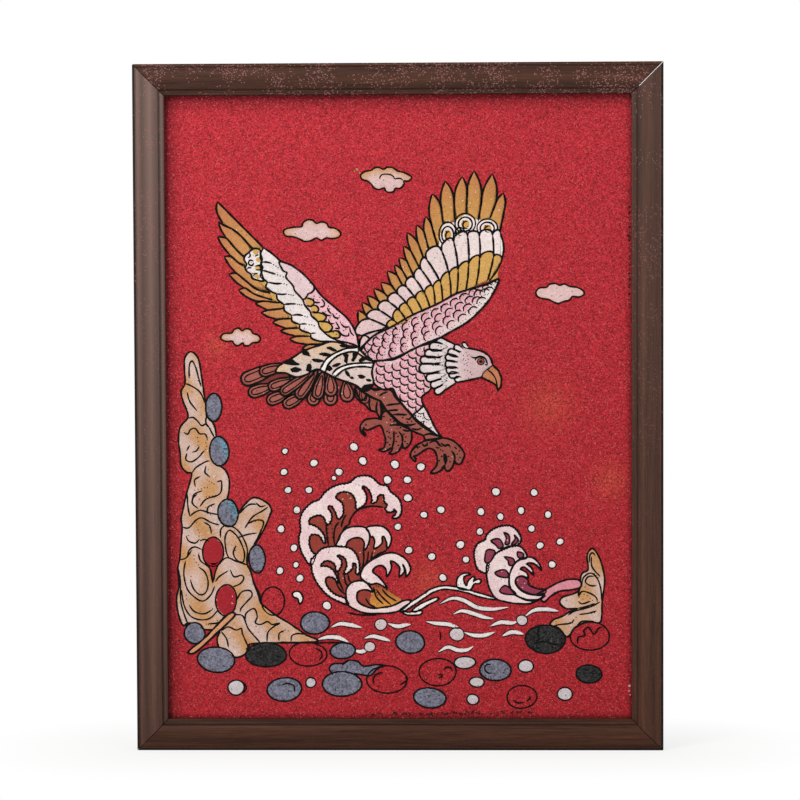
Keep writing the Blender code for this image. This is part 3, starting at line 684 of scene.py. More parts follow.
railPlans = {
    "top": {
        "along": (0.03, 1.0, 1.0), "dust": 0.75, "paintedSheen": (0.0, 0.03), "axis": "Z", "outer": topLevel,
        "sight": sightTop,
        "paintedShading": [(0.0, 0.4), (0.6, 0.5), (1.0, 2.1), (1.5, 0.5), (2.3, 0.95), (5.7, 0.95),
                  (9.5, 1.12), (15.2, 0.9), (17.7, 0.85), (18.4, 0.6), (19.0, 1.4), (19.6, 0.4),
                  (20.0, 0.4)],
    },
    "bottom": {
        "along": (0.03, 1.0, 1.0), "dust": 0.02, "paintedSheen": (0.0, 0.0), "axis": "Z", "outer": footLevel,
        "sight": sightBottom,
        "paintedShading": [(0.0, 0.15), (1.4, 0.2), (1.9, 1.1), (5.7, 0.95), (11.4, 1.12), (15.2, 1.0),
                  (18.1, 0.95), (18.8, 0.3), (19.3, 1.2), (20.0, 1.0)],
    },
    "left": {
        "along": (1.0, 1.0, 0.03), "dust": 0.3, "paintedSheen": (0.1, 0.66), "axis": "X", "outer": -outerLine,
        "sight": sightLeft,
        "paintedShading": [(0.0, 0.12), (1.5, 0.14), (2.0, 1.15), (3.4, 1.08), (6.0, 0.62), (7.8, 0.78),
                  (11.4, 1.24), (12.9, 1.0), (14.8, 0.8), (16.2, 0.85), (17.3, 0.55), (18.1, 1.15),
                  (19.0, 0.85), (20.0, 0.4)],
    },
    "right": {
        "along": (1.0, 1.0, 0.03), "dust": 0.3, "paintedSheen": (0.02, 0.17), "axis": "X", "outer": outerLine,
        "sight": sightRight,
        "paintedShading": [(0.0, 0.1), (1.3, 0.12), (1.9, 1.5), (2.7, 1.4), (4.0, 1.05), (5.7, 0.9),
                  (12.9, 1.12), (14.7, 0.78), (17.1, 0.88), (18.9, 0.8), (19.4, 1.1), (20.0, 0.6)],
    },
}
railFinish = {f"frame_rail_{side}": woodMaterial(f"wood_{side}", plan) for side, plan in railPlans.items()}
for railName, finish in railFinish.items():
    dress(railName, finish)

# Sands: the black one of the lines, and those that the fields and pebbles are laid with
inkFinish = sandMaterial("black_line", 0.12, Stone=inkColour, Grain_Size=0.0005, Grain_Contrast=0.5,
                         Pale_Specks=0.0, Dark_Specks=0.0, Relief=0.2)
colouredSand = sandMaterial("coloured_sand", Grain_Size=0.0007, Grain_Contrast=0.26, Pale_Specks=0.004,
                            Dark_Specks=0.008, Drift=0.3, Speck_Colour=(0.85, 0.8, 0.76))
greySand = sandMaterial("grey_sand", Grain_Size=0.001, Grain_Contrast=0.75, Pale_Specks=0.03,
                        Dark_Specks=0.05, Drift=0.3, Speck_Colour=(0.36, 0.38, 0.46))
blackSand = sandMaterial("black_sand", Grain_Size=0.001, Grain_Contrast=1.5, Pale_Specks=0.02,
                         Dark_Specks=0.03, Drift=0.3, Speck_Colour=(0.12, 0.12, 0.12))
redSand = sandMaterial("red_sand", Grain_Size=0.00062, Grain_Contrast=0.95, Pale_Specks=0.05,
                       Dark_Specks=0.012, Drift=0.15, Speck_Colour=(0.66, 0.15, 0.15))


# The red ground: a slab with a slightly uneven face, which the figures lie on, in millimetres
groundPlan = {
    "sheetWide": 295,
    "sheetHigh": 396,
    "cell": 2.0,
    # Painted shadow of the frame's lip, darkening the stone at the left, right, top and bottom edge:
    # strength and reach
    "paintedEdgeShadow": [(0.55, 7.0), (0.35, 2.0), (0.55, 8.0), (0.6, 1.8)],
    "unevenness": 0.03,
    # Waves of that unevenness in each metre across and up, in radians
    "waves": (190, 230),
    "red": (0.53, 0.032, 0.047),
    "deepRed": (0.34, 0.016, 0.022),
    "orange": (0.62, 0.13, 0.05),
    # Where yellow grains are mixed into the red: a place and a reach
    "orangePlaces": [(242.4, 199.3, 13.9), (165.6, 88, 10.1), (31.7, 237.5, 7.6), (281.6, 151.6, 10.1),
        (212.3, 320.2, 7.6)],
}


def groundTint(points):
    # Redder and deeper towards the lower right, with a few warm places.
    wide, high = groundPlan["sheetWide"], groundPlan["sheetHigh"]
    share = np.clip(0.25 + 0.5 * (1 - points[:, 1] / high) + 0.2 * points[:, 0] / wide, 0, 1)[:, None]
    tint = lerp(groundPlan["red"], groundPlan["deepRed"], share)
    for across, up, reach in groundPlan["orangePlaces"]:
        gap = (points[:, 0] - across)**2 + (points[:, 1] - up)**2
        warm = 0.22 * np.exp(-gap / reach**2)[:, None]
        tint = lerp(tint, groundPlan["orange"], warm)
    # Painted shadow cast by the frame's lip along each edge of the stone
    gaps = (points[:, 0], wide - points[:, 0], high - points[:, 1], points[:, 1])
    for gap, (strength, reach) in zip(gaps, groundPlan["paintedEdgeShadow"]):
        tint = tint * (1 - strength * np.exp(-(gap / reach)**2))[:, None]
    return tint


def makeGround(plan):
    low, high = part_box("red_stone_ground")
    across = np.arange(low.x, high.x, plan["cell"] * mm)
    up = np.arange(low.z, high.z, plan["cell"] * mm)
    across = np.append(across[:-1], high.x)
    up = np.append(up[:-1], high.z)
    grid = np.stack(np.meshgrid(across, up), axis=-1)
    rows, columns = grid.shape[:2]
    wave = np.sin(grid[..., 0] * plan["waves"][0]) * np.sin(grid[..., 1] * plan["waves"][1] + 1.1)
    depth = low.y + plan["unevenness"] * mm * (1 + wave) / 2
    front = np.stack([grid[..., 0], depth, grid[..., 1]], axis=-1).reshape(-1, 3)
    rim = np.concatenate([np.arange(columns), np.arange(1, rows) * columns + columns - 1,
                          (rows - 1) * columns + np.arange(columns - 2, -1, -1),
                          np.arange(rows - 2, 0, -1) * columns])
    back = front[rim] * (1.0, 0.0, 1.0) + (0.0, high.y, 0.0)
    first = len(front)
    faces = [face[::-1] for face in gridFaces(rows, columns)]
    ahead = np.roll(np.arange(len(rim)), -1)
    faces += np.stack([rim, first + np.arange(len(rim)), first + ahead, rim[ahead]], axis=1).tolist()
    faces.append((first + np.arange(len(rim))).tolist()[::-1])
    points = np.vstack([front, back])
    sheet = np.stack([(points[:, 0] - sightLeft) / mm, (points[:, 2] - sightBottom) / mm], axis=1)
    pile = Pile()
    pile.add(points, faces, groundTint(sheet))
    return pile.make("red_sand_ground", redSand, "red_stone", "red_stone_ground", smooth=False)


makeGround(groundPlan)


# Pebbles: centre, half width and half height, in millimetres
pebblePlan = {
    "grey": (0.165, 0.168, 0.222),
    "cyanEdge": (0.10, 0.30, 0.40),
    "black": (0.022, 0.022, 0.022),
    "red": (0.36, 0.017, 0.027),
    "white": (0.58, 0.53, 0.55),
    "line": 1.25,
    "greyOnes": [(29.9, 198.7, 5.1, 8.9), (33.2, 170.7, 6, 9.5), (38.6, 131.3, 6.3, 8.9),
        (56.9, 102, 5.1, 8.9), (16.7, 54.5, 6.6, 6.6), (30.4, 37.5, 12, 7.9), (93.6, 61, 9.2, 7),
        (111.3, 43.2, 7.9, 5.1), (73.9, 18.4, 10.8, 7.6), (110.6, 21.9, 12.4, 7.9),
        (154.3, 48.7, 9.2, 7), (166.6, 13, 10.5, 6.2), (208.4, 30.8, 10, 6.7)],
    "blackOnes": [(62.3, 40.6, 12.7, 7.9), (240.3, 50.5, 12.5, 9.1), (267.9, 28.2, 8.2, 5.7)],
    "redOnes": [(28.9, 106.5, 6.8, 9.2), (37, 75.6, 6.8, 9.8)],
    "redOutlines": [(66.9, 75, 7.3, 9.2), (89, 41, 12, 7.6), (139.2, 24.7, 13, 8.6),
        (171.7, 29.5, 12, 8.6), (225.2, 13.6, 9.5, 7.3), (268.6, 52.4, 12.2, 9.1)],
    "whiteOnes": [(189, 35.6, 6.7, 3.9), (227.8, 33.3, 4.7, 4), (196.6, 23.1, 4.6, 3.2),
        (194, 12, 3.8, 3.3), (252.6, 15.5, 4.9, 4), (43, 19.6, 5.3, 4.7), (90.8, 22.8, 3.2, 3.2)],
}


def numbered(name, count):
    return [f"{name}_{number}" for number in range(1, count + 1)]


def greyTint(cyan):
    # Grey, with this much blue-green towards the upper right.
    def tint(points):
        middle = points.mean(axis=0)
        out = (points[:, 0] - middle[0]) / 7.0 + (points[:, 1] - middle[1]) / 14.0
        share = np.clip(out, 0, 1)[:, None] * cyan
        return lerp(pebblePlan["grey"], pebblePlan["cyanEdge"], share)
    return tint


def layPebbles(plan):
    grey, dark, red, pale, ink = Pile(), Pile(), Pile(), Pile(), Pile()
    # Each kind: its places, pile and stone, how far it is turned, how much its outline swings and
    # where that starts, and the weight of its line. The grey ones are turned this way and that.
    kinds = [
        ("greyOnes", grey, None, 0.1, 0.018, 0.0, 1.0),
        ("blackOnes", dark, "black", 0.0, 0.02, 1.5, 0.9),
        ("redOnes", red, "red", -0.06, 0.02, 4.0, 1.0),
        ("redOutlines", None, None, 0.0, 0.02, 2.2, 0.8),
        ("whiteOnes", pale, "white", 0.0, 0.03, 0.4, 0.8),
    ]
    for label, pile, stone, turn, swing, start, weight in kinds:
        for number, (across, up, wide, high) in enumerate(plan[label]):
            tilt = turn * math.sin(number) if pile is grey else turn
            outline = ovalPath((across, up), (wide, high), tilt, swing, number + start)
            if pile is pale:
                addBead(pale, outline, plan[stone], rise=0.25)
            elif pile is not None:
                tint = plan[stone] if stone else greyTint(0.75 if number in (1, 2) else 0.0)
                addFill(pile, outline, tint, cell=0.9, rise=0.2)
            addStroke(ink, outline, plan["line"] * weight, closed=True)
    grey.make("grey_pebbles", greySand, "grey_stone", *numbered("grey_pebble", 13))
    dark.make("black_pebbles", blackSand, "black_stone", *numbered("black_pebble", 3))
    red.make("smooth_red_pebbles", colouredSand, "smooth_red_stone", "red_pebble_1", "red_pebble_2")
    pale.make("white_pebbles", colouredSand, "white_stone")
    ink.make("pebble_lines", inkFinish, "black_stone")


layPebbles(pebblePlan)


# Clouds: a rim of ochre round a pink-white middle
cloudPlan = {
    "rim": (0.56, 0.30, 0.13),
    "middle": (0.72, 0.5, 0.49),
    "line": 1.15,
    "outlines": [
        spots(1240, 3453, 1266, 3477, 1308, 3485, 1324, 3498, 1356, 3504, 1384, 3491, 1409, 3504,
            1446, 3500, 1476, 3479, 1509, 3472, 1536, 3460, 1564, 3439, 1539, 3415, 1513, 3418,
            1514, 3394, 1490, 3371, 1461, 3371, 1450, 3352, 1424, 3345, 1398, 3354, 1390, 3373,
            1355, 3364, 1324, 3375, 1306, 3399, 1282, 3418, 1250, 3428),
        spots(749, 3095, 763, 3116, 811, 3127, 864, 3131, 874, 3156, 906, 3175, 938, 3170, 959, 3151,
            991, 3161, 1024, 3151, 1038, 3127, 1080, 3119, 1112, 3092, 1101, 3065, 1059, 3055,
            1022, 3060, 990, 3044, 959, 3060, 927, 3044, 884, 3038, 848, 3055, 810, 3068, 768, 3071),
        spots(2347, 2712, 2369, 2738, 2413, 2741, 2432, 2760, 2471, 2766, 2496, 2754, 2528, 2763,
            2559, 2747, 2604, 2741, 2642, 2722, 2651, 2696, 2616, 2680, 2578, 2684, 2559, 2661,
            2521, 2652, 2489, 2639, 2457, 2649, 2426, 2665, 2388, 2671, 2356, 2684),
        spots(349, 2438, 368, 2456, 416, 2459, 432, 2480, 463, 2490, 484, 2472, 505, 2485, 537, 2480,
            553, 2456, 584, 2445, 600, 2421, 584, 2400, 551, 2397, 523, 2378, 495, 2381, 487, 2397,
            457, 2378, 431, 2389, 420, 2408, 384, 2406, 352, 2419),
    ],
    # How much ochre each cloud has at its rim, at its left and right ends, and at its top
    "rimOchre": (0.35, 0.45, 0.2, 0.6),
    "endOchre": (0.8, 1.0, 0.2, 0.8),
    "topOchre": (0.9, 0.35, 0.1, 0.5),
    "swirls": [
        spots(1361, 3428, 1366, 3449, 1384, 3460, 1425, 3458, 1448, 3445, 1456, 3431, 1488, 3434,
            1509, 3421),
    ],
}


def cloudTint(outline, number):
    low, high = outline.min(axis=0), outline.max(axis=0)

    def tint(points):
        share = (points - low) / (high - low)
        gap = nearestOn(points, outline)[1]
        ends = np.clip(abs(share[:, 0] - 0.5) * 3.2 - 0.8, 0, 1) * cloudPlan["endOchre"][number]
        top = np.clip(share[:, 1] * 2.2 - 1.1, 0, 1) * cloudPlan["topOchre"][number]
        rim = np.clip(1 - gap / 2.2, 0, 1) * cloudPlan["rimOchre"][number]
        ochre = np.clip(ends + top + rim, 0, 1)[:, None]
        return lerp(cloudPlan["middle"], cloudPlan["rim"], ochre)
    return tint


def layClouds(plan):
    stone, ink = Pile(), Pile()
    for number, knots in enumerate(plan["outlines"]):
        outline = smoothPath(knots, closed=True, step=0.8)
        addFill(stone, outline, cloudTint(outline, number), cell=0.8, rise=0.12)
        addStroke(ink, outline, plan["line"], closed=True)
    for knots in plan["swirls"]:
        addStroke(ink, smoothPath(knots), plan["line"] * 0.8, lift=0.12)
    stone.make("clouds", colouredSand, "pink_stone", *numbered("cloud", 4))
    ink.make("cloud_lines", inkFinish, "black_stone")


layClouds(cloudPlan)


# Water: white streaks with a black line along them, white balls and spray
waterPlan = {
    "white": (0.78, 0.72, 0.71),
    "drops": [(75.1, 170.7, 2), (93.5, 163.1, 2.5), (74.4, 157.4, 2.3), (76.9, 145.9, 2.3),
        (90.2, 145.9, 2.3), (109.4, 157.4, 2.5), (106.2, 153.5, 1.6), (119, 173.3, 2.7),
        (124.6, 164.4, 2.7), (145, 162.1, 2.8), (140.2, 152.3, 2.7), (82.5, 133.2, 2.4),
        (72.3, 121.1, 2.5), (80.5, 109, 2.4), (81.7, 98.2, 2), (71.5, 94.4, 2.4), (84.2, 89.6, 2.5),
        (146.7, 122.4, 2.3), (161.5, 160.5, 2.7), (152.9, 152.3, 2.5), (153.1, 140.8, 2.7),
        (163.3, 130, 2.3), (174.1, 133.2, 2.5), (209.1, 144.6, 2.7), (233.3, 144, 2.4),
        (199.5, 131.9, 2.5), (211.9, 128.7, 2.3), (225, 132.6, 2.4), (242.1, 130, 2.3),
        (198.8, 119.2, 2.3), (231.6, 121.1, 2.3), (186.4, 110.9, 2.7), (237, 110.3, 2.4),
        (249.7, 112.8, 2.3), (153.6, 107.4, 2.5), (168.2, 103.3, 2.5), (189.9, 101.4, 2.3),
        (244.6, 98.2, 2.4), (175.2, 89.9, 2.5), (101.3, 72.1, 2.8)],
    "balls": [(135.6, 60, 3.9), (128.5, 45.7, 3.5), (184, 53.7, 4.6), (225.4, 62.6, 3.5)],
    "streaks": [
        spots(1037, 581, 1095, 604, 1158, 597, 1235, 578),
        spots(948, 502, 1012, 518, 1082, 515, 1152, 486),
        spots(1400, 607, 1458, 588, 1509, 594, 1547, 600),
        spots(1247, 511, 1305, 524, 1362, 511, 1419, 492), spots(1183, 435, 1228, 425, 1272, 435),
        spots(1642, 619, 1706, 607, 1782, 600, 1859, 575),
        spots(1884, 550, 1948, 530, 2018, 530, 2082, 550),
        spots(1718, 422, 1782, 454, 1845, 435, 1903, 435, 1947, 460),
        spots(1815, 664, 1872, 686, 1942, 670, 2012, 645, 2075, 635),
        spots(1726, 728, 1809, 766, 1885, 753, 1968, 709, 2063, 696, 2171, 709),
        spots(2050, 588, 2120, 613, 2190, 607, 2228, 619),
        spots(2273, 651, 2330, 689, 2400, 696, 2489, 683), spots(2126, 524, 2190, 550, 2266, 537),
    ],
    "streakWidth": 3.2,
    "streakRise": 0.12,
    "ballTint": (0.62, 0.54, 0.55),
    "line": 0.75,
}


def addLens(pile, path, tint, width, rise):
    # A streak: widest in its middle and pointed at both ends, as a low closed form.
    share = np.linspace(0.0, 1.0, len(path))
    half = width / 2 * np.clip(np.sin(np.pi * share)**0.55, 0.08, 1)
    side = normalsOf(path, False) * half[:, None]
    across = np.array([-1.0, -0.5, 0.5, 1.0])
    flat = path[:, None, :] + side[:, None, :] * across[None, :, None]
    points = onWall(flat, rise * strokeProfile["rise"][None, :])
    pile.add(points, gridFaces(len(path), 4, wrap=True) + capsOf(len(path)), tint)
    return flat[:, 0], flat[:, 3]


def layWater(plan):
    pale, ink = Pile(), Pile()
    for number, (across, up, reach) in enumerate(plan["drops"]):
        outline = ovalPath((across, up), (reach * 1.04, reach), 0.3 * number, 0.05, number, count=14)
        addBead(pale, outline, plan["white"], rise=0.22, rings=2)
        addStroke(ink, outline, plan["line"], closed=True)
    for number, (across, up, reach) in enumerate(plan["balls"]):
        outline = ovalPath((across, up), (reach, reach * 0.95), 0.0, 0.03, number, count=22)
        addBead(pale, outline, plan["ballTint"], rise=0.25)
        addStroke(ink, outline, plan["line"], closed=True)
    for knots in plan["streaks"]:
        low, high = addLens(pale, smoothPath(knots), plan["white"], plan["streakWidth"], plan["streakRise"])
        addStroke(ink, low, plan["line"] * 0.9)
        addStroke(ink, high[:len(high) * 2 // 3], plan["line"] * 0.8)
    pale.make("white_water", colouredSand, "white_stone")
    ink.make("water_lines", inkFinish, "black_stone")


layWater(waterPlan)


# Feathers: a blade is worked out from its two edges, as a grid across and along it. Its section is
# given as shares of its width and height.
bladeProfile = {
    "across": np.array([0.0, 0.22, 0.5, 0.78, 1.0]),
    "rise": np.array([0.0, 0.8, 1.0, 0.8, 0.0]),
    "height": 0.16,
    # The narrowest a blade may be, at a tip where its edges meet
    "narrowest": 0.04,
}


def addBlade(pile, rightEdge, leftEdge, tintRoot, tintTip, rows=12):
    # Points run from the root to the tip; the surface is highest on the middle line.
    along = np.linspace(0.0, 1.0, rows)
    right = placesAlong(rightEdge, along)
    left = placesAlong(leftEdge, along)
    gap = np.linalg.norm(left - right, axis=1, keepdims=True)
    narrowest = bladeProfile["narrowest"]
    left = left + np.where(gap < narrowest, (narrowest, 0.0), (0.0, 0.0))
    across = bladeProfile["across"]
    share = across[None, :, None]
    flat = lerp(right[:, None, :], left[:, None, :], share)
    height = bladeProfile["height"] * bladeProfile["rise"][None, :] * np.ones((rows, 1))
    points = onWall(flat, height)
    columns = len(across)
    last = (rows - 1) * columns
    outward = list(range(columns)) + [row * columns + columns - 1 for row in range(1, rows)]
    homeward = list(range(last + columns - 2, last - 1, -1))
    homeward += [row * columns for row in range(rows - 2, 0, -1)]
    rim = outward + homeward
    tint = lerp(tintRoot, tintTip, along[:, None, None])
    tints = np.broadcast_to(tint, (rows, columns, 3)).reshape(-1, 3)
    pile.add(points, gridFaces(rows, columns) + [rim], tints)


def drawLines(ink, lines, width, lift=0.14):
    for line in lines:
        addStroke(ink, smoothPath(line), width, lift=lift)


def layPatch(stone, outline, tint, lift, rise=0.12, curved=True):
    # A field of one sand, and its outline, either rounded or with its corners kept.
    path = smoothPath(outline, closed=True) if curved else outlinePath(outline)
    addFill(stone, path, tint, rise=rise, lift=lift)
    return path


def bulged(start, finish, amount):
    # A shallow bow between two points, to the left of the way from start to finish.
    start, finish = np.asarray(start, float), np.asarray(finish, float)
    t = np.linspace(0, 1, 9)[:, None]
    way = finish - start
    out = np.array([-way[1], way[0]])
    return start + way * t + out * amount * np.sin(np.pi * t)


def displayColour(red, green, blue):
    # A display colour, 0 to 255, as the linear colour that shaders take.
    value = np.array([red, green, blue]) / 255.0
    return tuple(np.where(value <= 0.04045, value / 12.92, ((value + 0.055) / 1.055)**2.4).tolist())


# The near wing, from its long feathers in to its scales
nearWing = {
    "tips": spots(2143, 3337, 2073, 3459, 1958, 3480, 1883, 3443, 1775, 3414, 1693, 3335, 1650, 3191,
        1594, 3138, 1533, 3091, 1511, 3004, 1482, 2932, 1454, 2887, 1408, 2847, 1367, 2775, 1321, 2736,
        1280, 2691, 1246, 2649, 1222, 2598),
    "notches": spots(2155, 3274, 2094, 3274, 2002, 3274, 1912, 3303, 1831, 3294, 1750, 3244, 1685, 3147,
        1640, 3096, 1602, 3027, 1557, 2973, 1530, 2913, 1502, 2852, 1471, 2818, 1435, 2755, 1389, 2707,
        1351, 2659, 1306, 2617, 1269, 2570, 1221, 2534),
    "roots": spots(2120, 3091, 2057, 3179, 1983, 3158, 1907, 3206, 1835, 3164, 1761, 3149, 1729, 2990,
        1673, 2972, 1646, 2903, 1614, 2861, 1577, 2808, 1547, 2771, 1514, 2735, 1476, 2697, 1428, 2666,
        1375, 2628, 1333, 2585, 1299, 2549, 1242, 2441),
    "line": 1.3,
    "ochre": displayColour(188, 122, 76),
    "yellow": displayColour(200, 150, 84),
    "white": displayColour(236, 221, 218),
    "pinkWhite": displayColour(222, 190, 190),
    "gold": displayColour(208, 162, 90),
    "pink": displayColour(226, 158, 172),
    # Feet of the lines between the white feathers, then where those lines reach the gold row,
    # and where they end at the scales
    "whiteTops": spots(2120, 3089, 2074, 3068, 1990, 3063, 1916, 3063, 1829, 3027, 1753, 2972,
        1658, 2918, 1626, 2850, 1584, 2796, 1531, 2743, 1478, 2697, 1421, 2650, 1362, 2596, 1294, 2545,
        1242, 2441),
    "goldTops": spots(2128, 2913, 2078, 2933, 1991, 2920, 1921, 2884, 1855, 2850, 1799, 2820, 1745, 2771,
        1698, 2738, 1645, 2703, 1590, 2666, 1537, 2631, 1488, 2592, 1452, 2532, 1414, 2489, 1382, 2479),
    "goldFeet": spots(2051, 2782, 2040, 2786, 1968, 2755, 1901, 2714, 1846, 2712, 1809, 2691, 1756, 2651,
        1708, 2627, 1677, 2612, 1629, 2589, 1571, 2568, 1530, 2528, 1477, 2508, 1422, 2489, 1390, 2476),
    "sideLobes": spots(1222, 2335, 1225, 2407, 1238, 2441, 1253, 2468, 1287, 2502, 1353, 2504,
        1403, 2468, 1354, 2456, 1305, 2415, 1265, 2375),
    "sideLines": [
        spots(1240, 2439, 1263, 2483, 1308, 2507, 1359, 2498, 1401, 2466),
        spots(1301, 2415, 1263, 2441, 1236, 2420, 1225, 2365),
        spots(1222, 2335, 1227, 2375, 1231, 2415),
    ],
    "sideWhite": spots(2120, 3089, 2137, 3032, 2143, 2979, 2128, 2913, 2078, 2926, 2067, 3022),
    "under": spots(2120, 3091, 1990, 3063, 1829, 3027, 1658, 2918, 1531, 2743, 1421, 2650, 1359, 2566,
        1382, 2479, 1422, 2485, 1443, 2479, 1464, 2481, 1549, 2545, 1698, 2608, 1846, 2693, 2016, 2773,
        2111, 2794, 2106, 2820, 2128, 2913, 2144, 2979, 2139, 3032),
    "underRings": spots(1731, 2985, 1740, 3085, 1785, 3149, 1848, 3158, 1912, 3202, 1986, 3170,
        2060, 3179, 2112, 3144, 2120, 3089, 2074, 3068, 1990, 3063, 1916, 3063, 1829, 3027, 1753, 2972),
    "edge": spots(2120, 3091, 2139, 3032, 2144, 2979, 2128, 2913, 2101, 2850, 2051, 2782),
    "whiteBulge": 0.5,
    "goldBulge": 0.5,
    # Height above the stone's face, in millimetres
    "lifts": {"under": -0.02, "sideLines": 0.08, "sideWhite": 0.02, "edge": 0.12, "underRings": 0.1,
              "whiteRow": 0.2, "goldRow": 0.32, "scaleOutline": 0.48},
}


def lobe(start, finish, out, height):
    # A round end between two feet: half an ellipse drawn out along a direction, a little squared.
    start, finish = np.asarray(start, float), np.asarray(finish, float)
    angle = np.linspace(np.pi, 0, 13)
    middle = (start + finish) / 2
    return (middle + (finish - start)[None, :] / 2 * np.cos(angle)[:, None]
            + np.asarray(out)[None, :] * (height * np.sin(angle)**0.6)[:, None])


def layNearFeathers(plan, stone, ink):
    tips, notches, roots = (np.array(plan[key]) for key in ("tips", "notches", "roots"))
    for number, tip in enumerate(tips):
        bow = 0.1 if number < 6 else 0.07
        right = np.vstack([bulged(roots[number], notches[number], 0.0)[:-1],
                           bulged(notches[number], tip, -bow if number else -0.02)])
        left = np.vstack([bulged(roots[number + 1], notches[number + 1], 0.0)[:-1],
                          bulged(notches[number + 1], tip, bow * 0.9)])
        addBlade(stone, right, left, plan["yellow"], plan["ochre"], rows=16)
        whole, part = (left, right) if number < 6 else (right, left)
        addStroke(ink, smoothPath(whole[::2]), plan["line"])
        addStroke(ink, evenPath(part[8:]), plan["line"])
    for end in (0, -1):
        addStroke(ink, smoothPath(np.vstack([roots[end], notches[end], tips[end]])), plan["line"])


def layNearRow(stone, ink, tops, feet, tint, lastTint, bulge, line, lift):
    # One row of round-ended feathers: the lobe of each between two feet, and the sides below.
    tops, feet = np.array(tops), np.array(feet)
    count = len(tops) - 1
    for number in range(count):
        way = tops[number + 1] - tops[number]
        length = math.hypot(*way)
        out = (tops[number] + tops[number + 1] - feet[number] - feet[number + 1]) / 2
        out = out / (math.hypot(*out) + 1e-6)
        cap = lobe(tops[number], tops[number + 1], out, length * bulge)
        outline = np.vstack([feet[number + 1], feet[number], cap])
        colour = lerp(tint, lastTint, number / count)
        addFill(stone, outlinePath(outline), colour, cell=0.9, rise=0.12, lift=lift)
        addStroke(ink, evenPath(cap), line, lift=lift + 0.15)
        side = bulged(tops[number + 1], feet[number + 1], 0.03)
        addStroke(ink, evenPath(side), line, lift=lift + 0.15)


# The rings of feathers that lie over the roots of the longest ones
ringPlan = {
    "rings": [(179, 308, 5.5, 7.6, 0.0), (190.1, 314.7, 6.5, 6.3, 0.0), (204, 311.9, 6.5, 5.5, 0.0),
        (186.7, 309.3, 4.5, 4.4, 0.0)],
    "white": displayColour(232, 222, 214),
    "gold": displayColour(206, 158, 80),
    "line": 1.1,
    "dot": 0.5,
    # Height above the stone's face, in millimetres, from the ring in to its core
    "lifts": {"white": 0.1, "outline": 0.16, "gold": 0.14, "inner": 0.2, "core": 0.22},
}


def layRings(plan, stone, ink):
    # A white ring round a gold one, with a curl and two dots in it; the last has no white ring.
    line, lifts = plan["line"], plan["lifts"]
    for number, (across, up, wide, high, turn) in enumerate(plan["rings"]):
        whole = ovalPath((across, up), (wide, high), turn, count=30)
        if number < 3:
            addBead(stone, whole, plan["white"], rise=0.08, lift=lifts["white"], rings=2)
            addStroke(ink, whole, line, lift=lifts["outline"], closed=True)
        inner = ovalPath((across, up - high * 0.06), (wide * 0.68, high * 0.7), turn, count=24)
        addBead(stone, inner, plan["gold"], rise=0.08, lift=lifts["gold"], rings=2)
        addStroke(ink, inner, line, lift=lifts["inner"], closed=True)
        core = ovalPath((across + wide * 0.1, up - high * 0.15), (wide * 0.34, high * 0.36), turn, count=16)
        addStroke(ink, core[3:14], line, lift=lifts["core"])
        for aside, above in ((-0.2, 0.25), (0.25, -0.3)):
            addDot(ink, (across + wide * aside, up + high * above), plan["dot"], lifts["inner"])


def addDot(pile, place, reach, lift, tint=inkColour):
    addBead(pile, ovalPath(place, (reach, reach * 0.9), count=8), tint, rise=0.1, lift=lift, rings=2)


def addDots(pile, places, reach, lift):
    for place in places:
        addDot(pile, place, reach, lift)


# Scales: each a patch of pink between two arcs, placed in rows half a scale out of step
def rowPlaces(upper, lower, rows, perRow, aimTurn):
    upper, lower = smoothPath(upper, step=0.5), smoothPath(lower, step=0.5)
    places, aims = [], []
    for row, share in enumerate(rows):
        at = (np.arange(perRow[row]) + (0.25 if row % 2 else 0.75)) / perRow[row]
        high = placesAlong(upper, at)
        low = placesAlong(lower, at)
        places.append(lerp(high, low, share))
        aims.append(np.radians(aimTurn[0] + (aimTurn[1] - aimTurn[0]) * at))
    return np.vstack(places), np.concatenate(aims)


# Each scale's arc as shares of its size, and its three dots, ahead of its middle and aside
scalePlan = {
    "line": 1.2,
    "arcSwing": 84,
    "arcAhead": 0.8,
    "arcAside": 0.86,
    "stipple": [(-0.2, 0.75), (-0.2, 0.25), (-0.35, -0.3)],
    "dot": 0.42,
    "lifts": {"stone": 0.06, "arc": 0.16, "dot": 0.18},
}


def coverScales(stone, ink, outline, places, aims, reach, plan):
    keep = isInside(places, outline)
    places, aims = places[keep], aims[keep]

    def tint(points):
        gap = points[:, None, :] - places[None, :, :]
        ahead = gap[..., 0] * np.cos(aims) + gap[..., 1] * np.sin(aims)
        best = (gap**2).sum(axis=2).argmin(axis=1)
        share = np.clip(0.45 + ahead[np.arange(len(points)), best] / reach * 0.75, 0, 1)[:, None]
        whiter = plan["whiter"](points)[:, None] if "whiter" in plan else 0.0
        pink = lerp(plan["pale"], plan["pink"], share)
        return lerp(pink, plan["white"], whiter)

    lifts = scalePlan["lifts"]
    addFill(stone, outline, tint, cell=0.8, rise=0.14, lift=lifts["stone"])
    swing = np.radians(np.linspace(-scalePlan["arcSwing"], scalePlan["arcSwing"], 13))[:, None]
    for place, aim in zip(places, aims):
        way = np.array([math.cos(aim), math.sin(aim)])
        side = np.array([-way[1], way[0]])
        arc = place + reach * (np.cos(swing) * way * scalePlan["arcAhead"]
                               + np.sin(swing) * side * scalePlan["arcAside"])
        inside = isInside(arc, outline)
        if inside.sum() > 5:
            addStroke(ink, arc[inside], scalePlan["line"], lift=lifts["arc"])
        for ahead, aside in scalePlan["stipple"]:
            spot = place + reach * (way * ahead + side * aside)
            if isInside(spot[None, :], outline)[0]:
                addDot(ink, spot, scalePlan["dot"], lifts["dot"])


